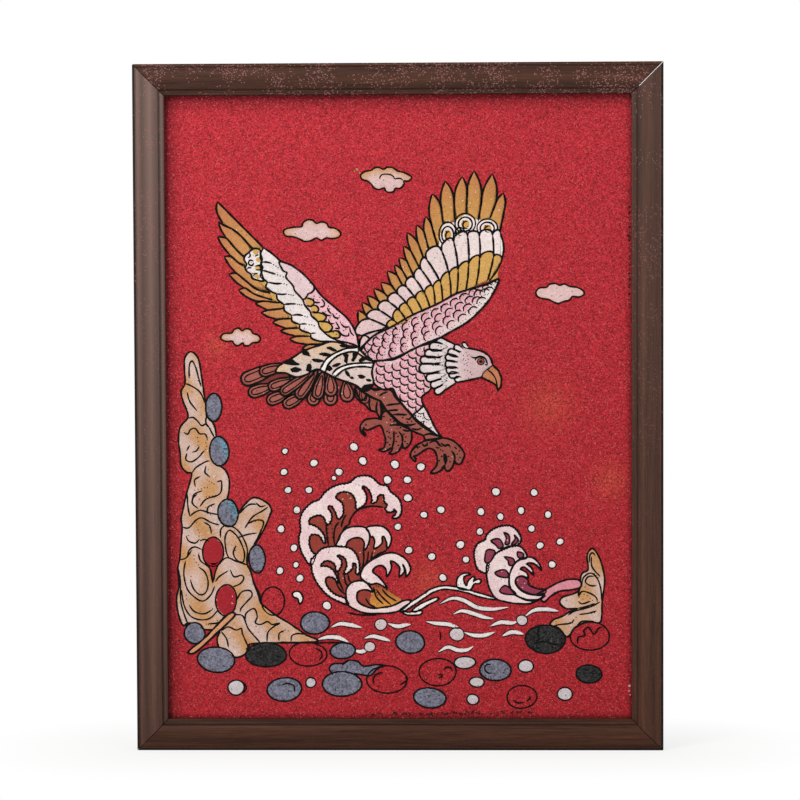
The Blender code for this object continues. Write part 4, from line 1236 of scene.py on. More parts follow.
nearScales = {
    "outline": spots(2109, 2795, 2033, 2763, 1969, 2744, 1848, 2706, 1715, 2636, 1569, 2572, 1422, 2490,
        1327, 2445, 1263, 2388, 1218, 2337, 1237, 2315, 1288, 2284, 1345, 2280, 1415, 2289, 1485, 2312,
        1568, 2353, 1644, 2388, 1739, 2426, 1803, 2461, 1911, 2523, 1994, 2598, 2058, 2674, 2102, 2757),
    "upper": spots(1218, 2337, 1327, 2445, 1422, 2490, 1569, 2572, 1715, 2636, 1848, 2706, 1969, 2744,
        2109, 2795),
    "lower": spots(1237, 2315, 1345, 2280, 1485, 2312, 1644, 2388, 1803, 2461, 1911, 2523, 1994, 2598,
        2109, 2795),
    "rows": (0.08, 0.27, 0.46, 0.65, 0.84),
    "perRow": (15, 15, 14, 14, 13),
    "reach": 3.7,
    "aimTurn": (200, 100),
    "pink": displayColour(220, 148, 162),
    "pale": displayColour(230, 196, 200),
    "white": displayColour(232, 220, 216),
}


def nearWhiter(points):
    # The scales turn white towards the wing's lower right edge.
    lower = smoothPath(nearScales["lower"], step=1.0)
    gap = nearestOn(points, np.vstack([lower, lower[::-1]]))[1]
    right = np.clip((points[:, 0] - 150) / 45, 0, 1)
    return np.clip(1.2 - gap / 6.5, 0, 1) * right


nearScales["whiter"] = nearWhiter


def makeNearWing():
    stone, ink = Pile(), Pile()
    plan = nearWing
    line, lifts = plan["line"], plan["lifts"]
    addFill(stone, outlinePath(plan["under"]), plan["gold"], rise=0.08, lift=lifts["under"])
    layPatch(stone, plan["sideLobes"], plan["pinkWhite"], lifts["under"], rise=0.1)
    drawLines(ink, plan["sideLines"], line, lift=lifts["sideLines"])
    layPatch(stone, plan["sideWhite"], plan["white"], lifts["sideWhite"], rise=0.1, curved=False)
    layNearFeathers(plan, stone, ink)
    addFill(stone, outlinePath(plan["underRings"]), plan["white"], rise=0.1, lift=lifts["underRings"])
    layNearRow(stone, ink, plan["whiteTops"], plan["goldTops"], plan["white"], plan["pinkWhite"],
               plan["whiteBulge"], line, lifts["whiteRow"])
    layNearRow(stone, ink, plan["goldTops"], plan["goldFeet"], plan["gold"], plan["gold"],
               plan["goldBulge"], line * 0.9, lifts["goldRow"])
    layRings(ringPlan, stone, ink)
    outline = smoothPath(nearScales["outline"], closed=True)
    places, aims = rowPlaces(nearScales["upper"], nearScales["lower"], nearScales["rows"],
                             nearScales["perRow"], nearScales["aimTurn"])
    coverScales(stone, ink, outline, places, aims, nearScales["reach"], nearScales)
    addStroke(ink, outline, line, closed=True, lift=lifts["scaleOutline"])
    addStroke(ink, smoothPath(plan["edge"]), line, lift=lifts["edge"])
    stone.make("near_wing", colouredSand, "ochre_stone", "near_wing_feathers", "near_wing_white_row",
               "near_wing_gold_row", "near_wing_scales")
    ink.make("near_wing_lines", inkFinish, "black_stone")


makeNearWing()


# The far wing: each long feather lies between the line above it and its own free edge
farWing = {
    # From root to tip; the first is the wing's leading edge
    "lines": [
        spots(623, 2998, 526, 3096, 463, 3160, 400, 3223, 332, 3292),
        spots(552, 2990, 526, 3022, 479, 3075, 426, 3117, 368, 3144, 337, 3165),
        spots(504, 2935, 447, 2990, 394, 3054, 368, 3066, 331, 3070),
        spots(504, 2884, 462, 2905, 415, 2945, 372, 2944),
        spots(667, 2711, 577, 2736, 503, 2794, 446, 2839, 403, 2831),
        spots(677, 2667, 566, 2704, 503, 2744, 461, 2730), spots(727, 2649, 619, 2661, 566, 2645),
        spots(748, 2614, 650, 2603, 603, 2587), spots(793, 2550, 714, 2545, 676, 2524),
        spots(842, 2490, 766, 2486, 724, 2473), spots(916, 2437, 829, 2437, 782, 2418),
        spots(1046, 2402, 977, 2386, 903, 2384, 861, 2356),
    ],
    # From tip to the line of the next feather
    "freeEdges": [
        spots(332, 3292, 324, 3244, 337, 3202, 364, 3155),
        spots(337, 3165, 349, 3123, 363, 3096, 384, 3066), spots(331, 3070, 362, 3011, 409, 2954),
        spots(372, 2944, 404, 2889, 440, 2847), spots(403, 2831, 445, 2783, 493, 2748),
        spots(461, 2730, 508, 2691, 566, 2663, 608, 2660), spots(566, 2645, 608, 2622, 642, 2606),
        spots(603, 2587, 650, 2561, 703, 2546), spots(676, 2524, 713, 2506, 758, 2490),
        spots(724, 2473, 766, 2453, 819, 2441), spots(782, 2418, 829, 2396, 893, 2386),
        spots(861, 2356, 913, 2349, 988, 2373, 1046, 2398),
    ],
    "coverts": [
        spots(623, 2998, 605, 2967, 603, 2926, 617, 2909), spots(617, 2909, 599, 2884, 617, 2856),
        spots(617, 2856, 601, 2818, 648, 2781), spots(648, 2781, 636, 2749, 672, 2720, 704, 2707),
        spots(704, 2707, 710, 2670, 751, 2639), spots(751, 2639, 753, 2600, 799, 2570),
        spots(799, 2570, 802, 2532, 851, 2512), spots(851, 2512, 853, 2479, 919, 2454),
        spots(919, 2454, 924, 2424, 977, 2405, 1046, 2404),
    ],
    # Lines that run in from between the coverts, and the dots that carry them on
    "covertLines": [
        spots(617, 2909, 647, 2907, 675, 2899), spots(617, 2856, 657, 2844, 699, 2831),
        spots(648, 2781, 694, 2772, 738, 2772), spots(704, 2707, 738, 2703, 769, 2705),
        spots(751, 2639, 793, 2643, 828, 2642), spots(799, 2570, 835, 2574, 872, 2568),
        spots(851, 2512, 874, 2516, 895, 2514), spots(919, 2454, 933, 2456, 950, 2457),
    ],
    "covertDots": [
        spots(686, 2892, 701, 2882, 715, 2872), spots(710, 2827, 728, 2820, 747, 2814),
        spots(751, 2770, 768, 2764), spots(781, 2702, 795, 2700, 810, 2697),
        spots(837, 2640, 849, 2638, 862, 2636), spots(883, 2564, 898, 2560),
        spots(910, 2511, 925, 2509, 942, 2504),
    ],
    "under": spots(552, 2990, 504, 2932, 504, 2873, 567, 2762, 662, 2720, 651, 2683, 704, 2656,
        730, 2614, 777, 2555, 827, 2492, 882, 2439, 945, 2388, 1041, 2398),
    "inner": spots(716, 2911, 747, 2852, 773, 2842, 765, 2810, 810, 2757, 820, 2725, 868, 2672,
        883, 2634, 917, 2592, 925, 2566, 965, 2529, 978, 2492, 1025, 2444, 1094, 2407, 1141, 2398,
        1184, 2386, 1223, 2369),
    "leading": spots(623, 2998, 668, 2969, 705, 2937, 732, 2914, 800, 2886, 874, 2831, 937, 2762,
        989, 2693, 1074, 2619, 1147, 2555, 1184, 2502, 1205, 2460, 1215, 2426, 1223, 2373),
    "shoulder": spots(716, 2911, 800, 2884, 874, 2831, 937, 2762, 943, 2736, 926, 2714, 905, 2707,
        886, 2676, 868, 2672, 820, 2725, 810, 2757, 765, 2810, 773, 2842, 747, 2852),
    "golds": [
        spots(888, 2680, 926, 2672, 942, 2651, 926, 2627, 894, 2632),
        spots(921, 2634, 955, 2630, 970, 2608, 955, 2585, 925, 2592),
        spots(925, 2592, 989, 2582, 1018, 2561, 1004, 2536, 967, 2532),
        spots(972, 2529, 1026, 2526, 1057, 2497, 1041, 2468, 1004, 2465, 978, 2492),
        spots(1025, 2460, 1083, 2471, 1107, 2444, 1094, 2426, 1051, 2428),
    ],
    "arcs": [
        spots(942, 2680, 936, 2666, 951, 2651, 979, 2651),
        spots(989, 2672, 1006, 2651, 1002, 2627, 978, 2623), spots(1026, 2619, 1033, 2598, 1052, 2577),
        spots(994, 2592, 1020, 2571, 1052, 2566), spots(1058, 2582, 1073, 2555, 1103, 2553),
        spots(1031, 2545, 1043, 2518, 1069, 2518),
        spots(1078, 2529, 1094, 2502, 1100, 2486, 1073, 2488),
        spots(1110, 2518, 1134, 2495, 1166, 2497),
        spots(1094, 2476, 1120, 2444, 1157, 2439, 1160, 2460),
        spots(1166, 2492, 1174, 2460, 1195, 2439),
    ],
    "arcDots": spots(942, 2691, 979, 2683, 1002, 2659, 1033, 2627, 1040, 2610, 994, 2587, 1012, 2592,
        1084, 2579, 1101, 2566, 1042, 2555, 1089, 2545, 1107, 2526, 1062, 2460, 1083, 2449, 1142, 2481,
        1128, 2473),
    "scroll": spots(552, 2990, 528, 2967, 508, 2952, 498, 2924, 515, 2897, 506, 2873, 516, 2850,
        542, 2831, 550, 2806, 586, 2793, 620, 2789, 615, 2820, 605, 2852, 616, 2873, 604, 2903,
        614, 2926, 603, 2958, 600, 2985, 577, 2994),
    "scrollGold": [
        spots(552, 2990, 577, 2994, 600, 2979, 591, 2956, 568, 2945, 551, 2967),
        spots(574, 2937, 600, 2942, 608, 2916, 587, 2903, 570, 2916),
        spots(567, 2882, 599, 2886, 603, 2861, 584, 2850, 567, 2857),
        spots(554, 2820, 586, 2835, 605, 2810, 588, 2795),
    ],
    "scrollCurls": [
        spots(528, 2967, 538, 2958, 536, 2943, 523, 2937),
        spots(557, 2916, 534, 2920, 527, 2897, 548, 2886, 561, 2903),
        spots(517, 2863, 527, 2873, 546, 2871), spots(567, 2882, 599, 2886, 603, 2861, 572, 2859),
        spots(568, 2945, 591, 2956), spots(554, 2820, 567, 2835, 586, 2835),
        spots(542, 2831, 559, 2839),
    ],
    "line": 1.3,
    "ochre": displayColour(188, 118, 78),
    "yellow": displayColour(200, 146, 88),
    "white": displayColour(232, 221, 219),
    "pink": displayColour(232, 184, 192),
    "shoulderPink": displayColour(228, 200, 203),
    "gold": displayColour(206, 164, 88),
    "dot": 0.45,
    # Height above the stone's face, in millimetres
    "lifts": {"under": -0.02, "white": 0.06, "pink": 0.08, "shoulder": 0.16, "scroll": 0.12, "golds": 0.18,
              "covertLines": 0.2, "scrollOutline": 0.22, "arcs": 0.31, "dots": 0.3},
}


def makeFarWing():
    stone, ink = Pile(), Pile()
    plan = farWing
    line, lifts = plan["line"], plan["lifts"]
    coverts = np.vstack(plan["coverts"])
    layPatch(stone, np.vstack([plan["under"], coverts[::-1]]), plan["gold"], lifts["under"], curved=False)
    last = len(plan["lines"]) - 1
    for number, free in enumerate(plan["freeEdges"]):
        upper = np.array(plan["lines"][number])
        after = plan["lines"][number + 1][:-1] if number < last else plan["lines"][last][:1]
        lower = np.vstack([after, np.array(free)[::-1][0 if number < last else 1:]])
        addBlade(stone, upper, lower, plan["yellow"], plan["ochre"])
        drawLines(ink, [upper, free], line)
    inner = np.array(plan["inner"])
    whole = np.vstack([coverts, inner[::-1], np.array(plan["leading"][:4])[::-1]])
    layPatch(stone, whole, plan["white"], lifts["white"], curved=False)
    rest = np.vstack([inner, np.array(plan["leading"][4:])[::-1]])
    layPatch(stone, rest, plan["pink"], lifts["pink"], curved=False)
    layPatch(stone, plan["shoulder"], plan["shoulderPink"], lifts["shoulder"], curved=False)
    scrollPath = layPatch(stone, plan["scroll"], plan["white"], lifts["scroll"])
    for spot in plan["golds"] + plan["scrollGold"]:
        layPatch(stone, spot, plan["gold"], lifts["golds"], rise=0.1)
    drawLines(ink, plan["coverts"] + plan["covertLines"] + [inner, plan["leading"], plan["shoulder"][3:9]],
              line, lift=lifts["covertLines"])
    drawLines(ink, plan["arcs"] + plan["scrollCurls"] + plan["golds"], line * 0.85, lift=lifts["arcs"])
    addStroke(ink, scrollPath, line, closed=True, lift=lifts["scrollOutline"])
    covertDots = [spot for row in plan["covertDots"] for spot in row]
    addDots(ink, covertDots + plan["arcDots"], plan["dot"], lifts["dots"])
    stone.make("far_wing", colouredSand, "ochre_stone", "far_wing_feathers", "far_wing_coverts")
    ink.make("far_wing_lines", inkFinish, "black_stone")


makeFarWing()


# Rump and tail: loop-shaped feathers under two white bands
tailPlan = {
    # Root, tip, width and layer of each loop feather, the lowest first
    "feathers": [
        ((70.8, 213.1), (52.1, 207.3), 7.6, 0), ((79.9, 208.5), (63.8, 202.2), 7.4, 0),
        ((89.8, 207.5), (74.2, 199.6), 7.4, 0), ((93.5, 210.3), (93.4, 199.8), 8.2, 0),
        ((104.3, 213.1), (104.2, 199.8), 8.6, 0), ((123.7, 211.7), (126.8, 201.1), 6.0, 0),
        ((74.4, 225.9), (47.6, 215.1), 9.0, 1), ((82.8, 217.4), (64.8, 210.9), 6.8, 1),
        ((96.2, 222.3), (83, 204.4), 7.2, 1), ((104, 220.9), (104.7, 205.5), 8.2, 1),
        ((113.8, 216), (115.3, 202), 8.6, 1), ((77.2, 225.9), (59.2, 220.6), 7.0, 2),
        ((94.8, 222.3), (72.6, 207.3), 6.6, 2), ((99.6, 221.6), (95.4, 203.8), 7.0, 2),
    ],
    "layerStep": 0.13,
    # Height above the stone's face, in millimetres; each layer of feathers is a step above the last
    "lifts": {"base": -0.02, "feathers": 0.02, "rump": 0.36, "rumpOutline": 0.5, "bands": 0.55,
              "bandLines": 0.66, "dashes": 0.7},
    "base": spots(726, 2273, 638, 2262, 553, 2237, 496, 2188, 476, 2149, 531, 2138, 520, 2075, 637, 2082,
        647, 2018, 735, 2032, 756, 1993, 891, 2032, 940, 2001, 1003, 2032, 1042, 2001, 1099, 2061,
        1152, 2022, 1201, 2046, 1265, 2011, 1251, 2103, 1152, 2160, 1040, 2209, 941, 2230, 828, 2188,
        743, 2209),
    "rump": spots(696, 2209, 708, 2241, 731, 2260, 758, 2278, 800, 2299, 857, 2336, 871, 2342, 928, 2365,
        998, 2386, 1041, 2402, 1111, 2393, 1161, 2370, 1217, 2365, 1227, 2354, 1273, 2308, 1315, 2273,
        1312, 2237, 1306, 2202, 1315, 2138, 1279, 2092, 1240, 2096, 1209, 2123, 1152, 2145, 1082, 2170,
        1011, 2205, 969, 2227, 930, 2218, 884, 2191, 828, 2179, 786, 2191, 757, 2205),
    "bandOne": spots(978, 2229, 1001, 2269, 1026, 2301, 1069, 2328, 1139, 2357, 1217, 2365, 1220, 2336,
        1174, 2338, 1114, 2324, 1061, 2292, 1026, 2251, 1011, 2208),
    "bandTwo": spots(1054, 2196, 1086, 2230, 1153, 2257, 1223, 2265, 1312, 2267, 1308, 2237, 1252, 2244,
        1188, 2240, 1126, 2222, 1075, 2179),
    "dashes": [
        spots(864, 2343, 872, 2324, 910, 2314, 899, 2338, 878, 2346),
        spots(744, 2269, 800, 2290, 821, 2269, 848, 2259, 800, 2257),
        spots(794, 2227, 821, 2239, 856, 2226, 827, 2212, 801, 2215),
        spots(892, 2223, 899, 2255, 914, 2259, 921, 2241, 916, 2215, 901, 2219),
        spots(927, 2290, 963, 2290, 998, 2281, 970, 2274, 945, 2280),
        spots(971, 2325, 1005, 2329, 1049, 2319, 1012, 2314),
        spots(1019, 2363, 1044, 2367, 1083, 2346, 1065, 2345, 1041, 2355),
        spots(1104, 2379, 1146, 2380, 1159, 2369, 1125, 2369),
        spots(1020, 2237, 1040, 2246, 1053, 2230, 1040, 2220, 1026, 2223),
        spots(1055, 2248, 1082, 2261, 1108, 2263, 1082, 2246),
        spots(1124, 2326, 1155, 2319, 1146, 2269, 1133, 2280, 1139, 2301),
        spots(1189, 2326, 1220, 2333, 1203, 2301, 1188, 2280, 1178, 2283, 1190, 2304),
        spots(1227, 2285, 1252, 2304, 1280, 2301, 1255, 2285, 1231, 2273),
        spots(1139, 2220, 1154, 2208, 1165, 2182, 1153, 2188, 1141, 2202),
        spots(1222, 2186, 1241, 2189, 1261, 2179, 1248, 2171, 1230, 2174),
        spots(1237, 2097, 1258, 2124, 1304, 2130, 1279, 2103, 1254, 2096),
        spots(1170, 2174, 1179, 2177, 1189, 2171, 1179, 2167),
        spots(1271, 2162, 1290, 2160, 1299, 2154, 1279, 2154),
    ],
    "brown": displayColour(162, 92, 82),
    "darkBrown": displayColour(120, 52, 48),
    "cream": displayColour(216, 195, 188),
    "tan": displayColour(222, 180, 128),
    "white": displayColour(240, 234, 228),
    "line": 1.3,
}


def loopOutline(root, tip, width, share=1.0):
    # Sides that widen from the root and then run level, closed by a round tip.
    root, tip = np.asarray(root, float), np.asarray(tip, float)
    way = tip - root
    length = math.hypot(*way)
    side = np.array([-way[1], way[0]]) / length
    t = 1 - (1 - np.linspace(0, 1, 18))**1.7
    cap = np.clip((t - 1 + width / 2 / length) / (width / 2 / length), 0, 1)
    half = width / 2 * share * (0.25 + 0.75 * np.clip(t / 0.55, 0, 1)) * np.sqrt(1 - cap**2)
    half[0] = 0.0
    start, stop = (1 - share) * 0.3, (1 - share) * width * 0.55 / length
    line = root + way * (start + (1 - start - stop) * t)[:, None]
    right = line - side * half[:, None]
    left = line + side * half[:, None]
    return np.vstack([right, left[-2:0:-1]])


def rumpTint(points):
    # Tan towards the top edge and the tail end, pale elsewhere.
    high = np.clip((points[:, 1] - 225) / 14, 0, 1)
    left = np.clip((82 - points[:, 0]) / 10, 0, 1)
    share = np.maximum(high, left)[:, None] * 0.7
    return lerp(tailPlan["cream"], tailPlan["tan"], share)


def makeRumpAndTail():
    stone, ink = Pile(), Pile()
    plan = tailPlan
    line, lifts = plan["line"], plan["lifts"]
    layPatch(stone, plan["base"], plan["darkBrown"], lifts["base"], rise=0.08, curved=False)
    for root, tip, width, layer in plan["feathers"]:
        lift = lifts["feathers"] + plan["layerStep"] * layer
        whole = loopOutline(root, tip, width)
        addBead(stone, whole, plan["brown"], rise=0.1, lift=lift, rings=2)
        addStroke(ink, whole, line * 0.95, closed=True, lift=lift + 0.06)
        inner = loopOutline(root, tip, width, 0.5)
        addStroke(ink, inner, line * 0.75, closed=True, lift=lift + 0.06)
    rumpPath = layPatch(stone, plan["rump"], rumpTint, lifts["rump"])
    for band in (plan["bandOne"], plan["bandTwo"]):
        layPatch(stone, band, plan["white"], lifts["bands"], curved=False)
        half = len(band) // 2
        drawLines(ink, [band[:half], band[half:]], line, lift=lifts["bandLines"])
    for dash in plan["dashes"]:
        addFill(ink, outlinePath(dash), inkColour, rise=0.06, lift=lifts["dashes"])
        addStroke(ink, outlinePath(dash), line * 0.8, closed=True, lift=lifts["bandLines"])
    addStroke(ink, rumpPath, line, closed=True, lift=lifts["rumpOutline"])
    stone.make("rump_and_tail", colouredSand, "brown_stone", "rump", "tail_feathers")
    ink.make("tail_lines", inkFinish, "black_stone")


makeRumpAndTail()


# Legs and claws
legPlan = {
    "farFoot": spots(1363, 1909, 1338, 1914, 1296, 1912, 1259, 1904, 1236, 1875, 1230, 1849, 1239, 1824,
        1259, 1803, 1263, 1819, 1247, 1831, 1250, 1849, 1274, 1840, 1303, 1849, 1352, 1870, 1370, 1852,
        1380, 1820, 1391, 1778, 1385, 1735, 1369, 1720, 1348, 1716, 1376, 1702, 1404, 1713, 1433, 1728,
        1429, 1707, 1413, 1692, 1436, 1687, 1471, 1704, 1491, 1735, 1498, 1757, 1505, 1724, 1532, 1734,
        1551, 1764, 1558, 1799, 1553, 1834, 1529, 1863, 1472, 1898, 1402, 1962, 1370, 1940),
    "strips": spots(1202, 2114, 1199, 2061, 1226, 2025, 1261, 2001, 1293, 1967, 1335, 1951, 1358, 1909,
        1370, 1940, 1367, 2011, 1304, 2054, 1240, 2089),
    "thigh": spots(1240, 2092, 1283, 2095, 1304, 2103, 1367, 2099, 1422, 2095, 1439, 2078, 1452, 2052,
        1501, 1997, 1557, 1932, 1599, 1884, 1656, 1843, 1719, 1806, 1749, 1788, 1698, 1778, 1647, 1774,
        1629, 1805, 1585, 1823, 1529, 1852, 1486, 1873, 1444, 1912, 1402, 1958, 1374, 1993, 1360, 2024,
        1300, 2048, 1268, 2068),
    "nearFoot": spots(1647, 1772, 1613, 1757, 1574, 1732, 1553, 1700, 1549, 1672, 1562, 1654, 1578, 1639,
        1581, 1658, 1570, 1672, 1595, 1682, 1627, 1704, 1662, 1723, 1694, 1714, 1713, 1686, 1720, 1644,
        1715, 1615, 1700, 1594, 1676, 1567, 1711, 1567, 1746, 1587, 1764, 1615, 1771, 1587, 1792, 1579,
        1816, 1608, 1828, 1644, 1838, 1626, 1868, 1624, 1882, 1654, 1892, 1682, 1874, 1720, 1839, 1757,
        1804, 1778, 1751, 1789, 1698, 1781),
    "lines": [
        spots(1360, 2024, 1402, 1962, 1444, 1912, 1486, 1873, 1529, 1852),
        spots(1300, 2048, 1339, 2032, 1361, 2024), spots(1358, 1909, 1365, 1948, 1358, 2018),
        spots(1291, 2046, 1288, 2001, 1298, 1967), spots(1339, 2022, 1333, 1983, 1338, 1951),
        spots(1202, 2110, 1215, 2061, 1240, 2029, 1265, 2046, 1268, 2071),
        spots(1304, 2102, 1325, 2092, 1364, 2097), spots(1353, 2057, 1381, 2075, 1406, 2083),
        spots(1395, 1997, 1437, 2003, 1487, 2008), spots(1402, 1963, 1444, 1966, 1476, 1967),
        spots(1436, 1938, 1480, 1939, 1529, 1937), spots(1518, 1912, 1543, 1909, 1557, 1926),
        spots(1490, 1878, 1543, 1871, 1585, 1880), spots(1557, 1849, 1592, 1842, 1620, 1852),
        spots(1627, 1803, 1670, 1815, 1733, 1799), spots(1643, 1778, 1691, 1781, 1751, 1788),
        spots(1444, 1834, 1443, 1771, 1433, 1728), spots(1476, 1831, 1497, 1799, 1498, 1757),
        spots(1500, 1842, 1528, 1834, 1554, 1836), spots(1416, 1870, 1444, 1873, 1486, 1870),
        spots(1768, 1690, 1778, 1651, 1768, 1615), spots(1810, 1707, 1828, 1679, 1831, 1640),
        spots(1761, 1690, 1764, 1658, 1768, 1626),
        spots(1620, 1757, 1635, 1739, 1652, 1744, 1659, 1762),
        spots(1669, 1757, 1698, 1771, 1719, 1764, 1733, 1743, 1754, 1735),
        spots(1740, 1757, 1768, 1739, 1789, 1746, 1803, 1728),
        spots(1708, 1732, 1722, 1725, 1733, 1728), spots(1556, 1700, 1574, 1728, 1599, 1735),
    ],
    "dots": spots(1253, 1856, 1267, 1873, 1401, 1831, 1415, 1824, 1410, 1796, 1422, 1788, 1405, 1760,
        1417, 1746, 1458, 1820, 1470, 1799, 1458, 1767, 1472, 1743, 1507, 1813, 1520, 1796, 1514, 1767,
        1528, 1753, 1423, 1905, 1444, 1895, 1381, 1926, 1465, 1880, 1508, 1933, 1529, 1890, 1740, 1714,
        1754, 1707, 1747, 1672, 1732, 1644, 1789, 1672, 1800, 1637, 1839, 1721, 1860, 1707, 1863, 1665,
        1595, 1725, 1606, 1732, 1832, 1728, 1577, 1700, 1486, 1856, 1501, 1919, 1557, 1895, 1514, 1861,
        1846, 1686),
    "brown": displayColour(148, 78, 68),
    "paleBrown": displayColour(156, 88, 78),
    "line": 1.3,
    # The layers, the lowest first, each a step above the last, with its outline over it
    "layers": ("strips", "farFoot", "thigh", "nearFoot"),
    "lowest": 0.04,
    "layerStep": 0.03,
    "outlineLift": 0.1,
    "lineLift": 0.26,
    "dot": 0.6,
}


def makeLegs():
    stone, ink = Pile(), Pile()
    plan = legPlan
    for number, name in enumerate(plan["layers"]):
        lift = plan["lowest"] + plan["layerStep"] * number
        path = layPatch(stone, plan[name], plan["paleBrown" if name == "thigh" else "brown"], lift)
        addStroke(ink, path, plan["line"], closed=True, lift=lift + plan["outlineLift"])
    drawLines(ink, plan["lines"], plan["line"], lift=plan["lineLift"])
    addDots(ink, plan["dots"], plan["dot"], plan["lineLift"])
    stone.make("legs", colouredSand, "brown_stone", "near_leg", "far_leg")
    ink.make("leg_lines", inkFinish, "black_stone")


makeLegs()


# Head, beak and breast
headPlan = {
    "breast": spots(1304, 2227, 1315, 2256, 1342, 2280, 1453, 2290, 1570, 2354, 1665, 2386, 1707, 2391,
        1696, 2216, 1680, 2105, 1642, 2068, 1623, 2052, 1623, 2023, 1637, 1988, 1674, 1919, 1710, 1845,
        1742, 1798, 1710, 1813, 1631, 1872, 1568, 1925, 1526, 1972, 1468, 2046, 1436, 2105, 1389, 2094,
        1330, 2126, 1306, 2168),
    "cover": spots(1637, 1988, 1674, 1919, 1710, 1845, 1742, 1798, 1710, 1813, 1631, 1872, 1568, 1925,
        1584, 1951, 1600, 1962),
    "neck": spots(1697, 2386, 1739, 2424, 1792, 2403, 1845, 2375, 1866, 2322, 1876, 2216, 1844, 2142,
        1780, 2099, 1719, 2066, 1701, 2078, 1708, 2110, 1680, 2119, 1696, 2140, 1653, 2161, 1664, 2184,
        1606, 2227, 1622, 2253, 1612, 2282, 1644, 2299, 1638, 2327, 1670, 2343, 1665, 2375),
    # Root, tip and width of each white tongue of the two ruffs
    "ruffs": [
        ((179.2, 236.7), (167.1, 236.9), 5.4), ((179.2, 232.2), (164.2, 232.6), 5.2),
        ((179.2, 228), (161.3, 228.4), 4.9), ((178.2, 212.3), (170.6, 207.4), 4.6),
        ((178.1, 215.7), (167.9, 211.9), 4.8), ((178.1, 219.3), (165, 216.5), 5.0),
        ((178.6, 223.5), (160.6, 222.9), 6.2),
    ],
    "headShape": spots(1845, 2375, 1864, 2373, 1875, 2386, 1893, 2390, 1904, 2359, 1951, 2352,
        2014, 2333, 2054, 2301, 2072, 2252, 2035, 2225, 2009, 2200, 1998, 2174, 1929, 2158, 1857, 2144,
        1829, 2168, 1797, 2193, 1844, 2197, 1781, 2220, 1823, 2227, 1775, 2256, 1834, 2263, 1775, 2306,
        1834, 2299, 1792, 2341, 1845, 2326, 1830, 2365),
    "headRuffs": [
        ((190, 233.3), (183, 237.3), 3.6), ((191.9, 235.2), (188.3, 239.2), 2.6),
        ((188.7, 230.5), (179, 234.1), 4.4), ((188.9, 216.3), (183.1, 216.1), 3.6),
        ((188.4, 218.4), (179.5, 219.1), 4.0), ((188.3, 228), (177.4, 230.5), 4.6),
        ((188.4, 221.6), (177.8, 222), 4.4), ((188, 225), (177.2, 225.9), 4.8),
    ],
    "beak": spots(2072, 2250, 2107, 2218, 2128, 2168, 2123, 2115, 2104, 2087, 2098, 2119, 2072, 2138,
        2035, 2157, 1999, 2174, 2009, 2200, 2035, 2225),
    "beakLines": [
        spots(2035, 2225, 2069, 2197, 2090, 2163, 2102, 2119),
        spots(2022, 2225, 2040, 2231, 2054, 2225),
    ],
    "eye": (199.7, 227.3),
    "brow": [
        spots(1938, 2301, 1963, 2297, 1993, 2305, 2025, 2292, 2039, 2256),
        spots(1963, 2280, 1967, 2295, 1998, 2305), spots(2024, 2256, 2033, 2250, 2039, 2256),
    ],
    "lineDots": spots(1694, 2250, 1709, 2252, 1724, 2252, 1739, 2254, 1753, 2252, 1768, 2250, 1728, 2317,
        1749, 2309, 1768, 2299, 1729, 2375, 1745, 2367, 1762, 2356, 1887, 2290, 1900, 2282, 1917, 2288,
        1892, 2256, 1910, 2248, 1895, 2221, 1914, 2216, 1929, 2203, 1749, 2179, 1762, 2184, 1728, 2161,
        1781, 2168, 1751, 2147, 1780, 2152, 1918, 2168, 1939, 2190, 1887, 2312, 1913, 2309, 1935, 2306,
        1707, 2288, 1739, 2284),
    "coverDots": spots(1599, 1925, 1614, 1926, 1629, 1915, 1637, 1894),
    # Size of the breast's scales, and the way they point, in degrees
    "reach": 3.7,
    "aim": 232,
    "line": 1.3,
    "pale": displayColour(232, 198, 202),
    "pink": displayColour(220, 146, 160),
    "white": displayColour(222, 208, 207),
    "headPink": displayColour(206, 176, 178),
    "ochre": displayColour(194, 124, 88),
    "iris": displayColour(150, 78, 62),
    # The eye from its rim in: reach and height of each disc
    "eyeDiscs": [(3.3, 0.5), (2.2, 0.56), (1.15, 0.64)],
    "dot": 0.42,
    # Height above the stone's face, in millimetres
    "lifts": {"breastOutline": 0.18, "cover": 0.14, "coverOutline": 0.24, "neck": 0.16, "neckLines": 0.26,
              "ruffs": 0.34, "head": 0.42, "headRuffs": 0.48, "headLines": 0.52, "beak": 0.2,
              "beakLines": 0.3, "brow": 0.54, "dots": 0.52},
}


def headTint(points):
    # Whiter to the left, where the ruff is, and pinker towards the crown.
    share = np.clip((points[:, 0] - 178) / 14, 0, 1)[:, None]
    return lerp(headPlan["white"], headPlan["headPink"], share)


def lattice(outline, reach, turn):
    # A staggered field of places, its rows across the direction the scales point.
    outline = np.asarray(outline, float)
    middle = outline.mean(axis=0)
    across, down = np.meshgrid(np.arange(-30, 31), np.arange(-30, 31))
    along = down * reach * 1.12
    aside = (across + 0.5 * (down % 2)) * reach * 1.72
    way = math.radians(turn)
    places = np.stack([middle[0] + along * math.cos(way) - aside * math.sin(way),
                       middle[1] + along * math.sin(way) + aside * math.cos(way)], axis=2).reshape(-1, 2)
    return places[isInside(places, outline)]


def layTongues(stone, ink, tongues, tint, lift, line):
    # Each tongue is outlined along its sides and round its tip, and open at its root.
    for root, tip, width in tongues:
        path = loopOutline(root, tip, width)
        addBead(stone, path, tint, rise=0.08, lift=lift, rings=2)
        half = len(path) // 2
        around = path[half - 14:half + 15]
        addStroke(ink, around, line, lift=lift + 0.05)


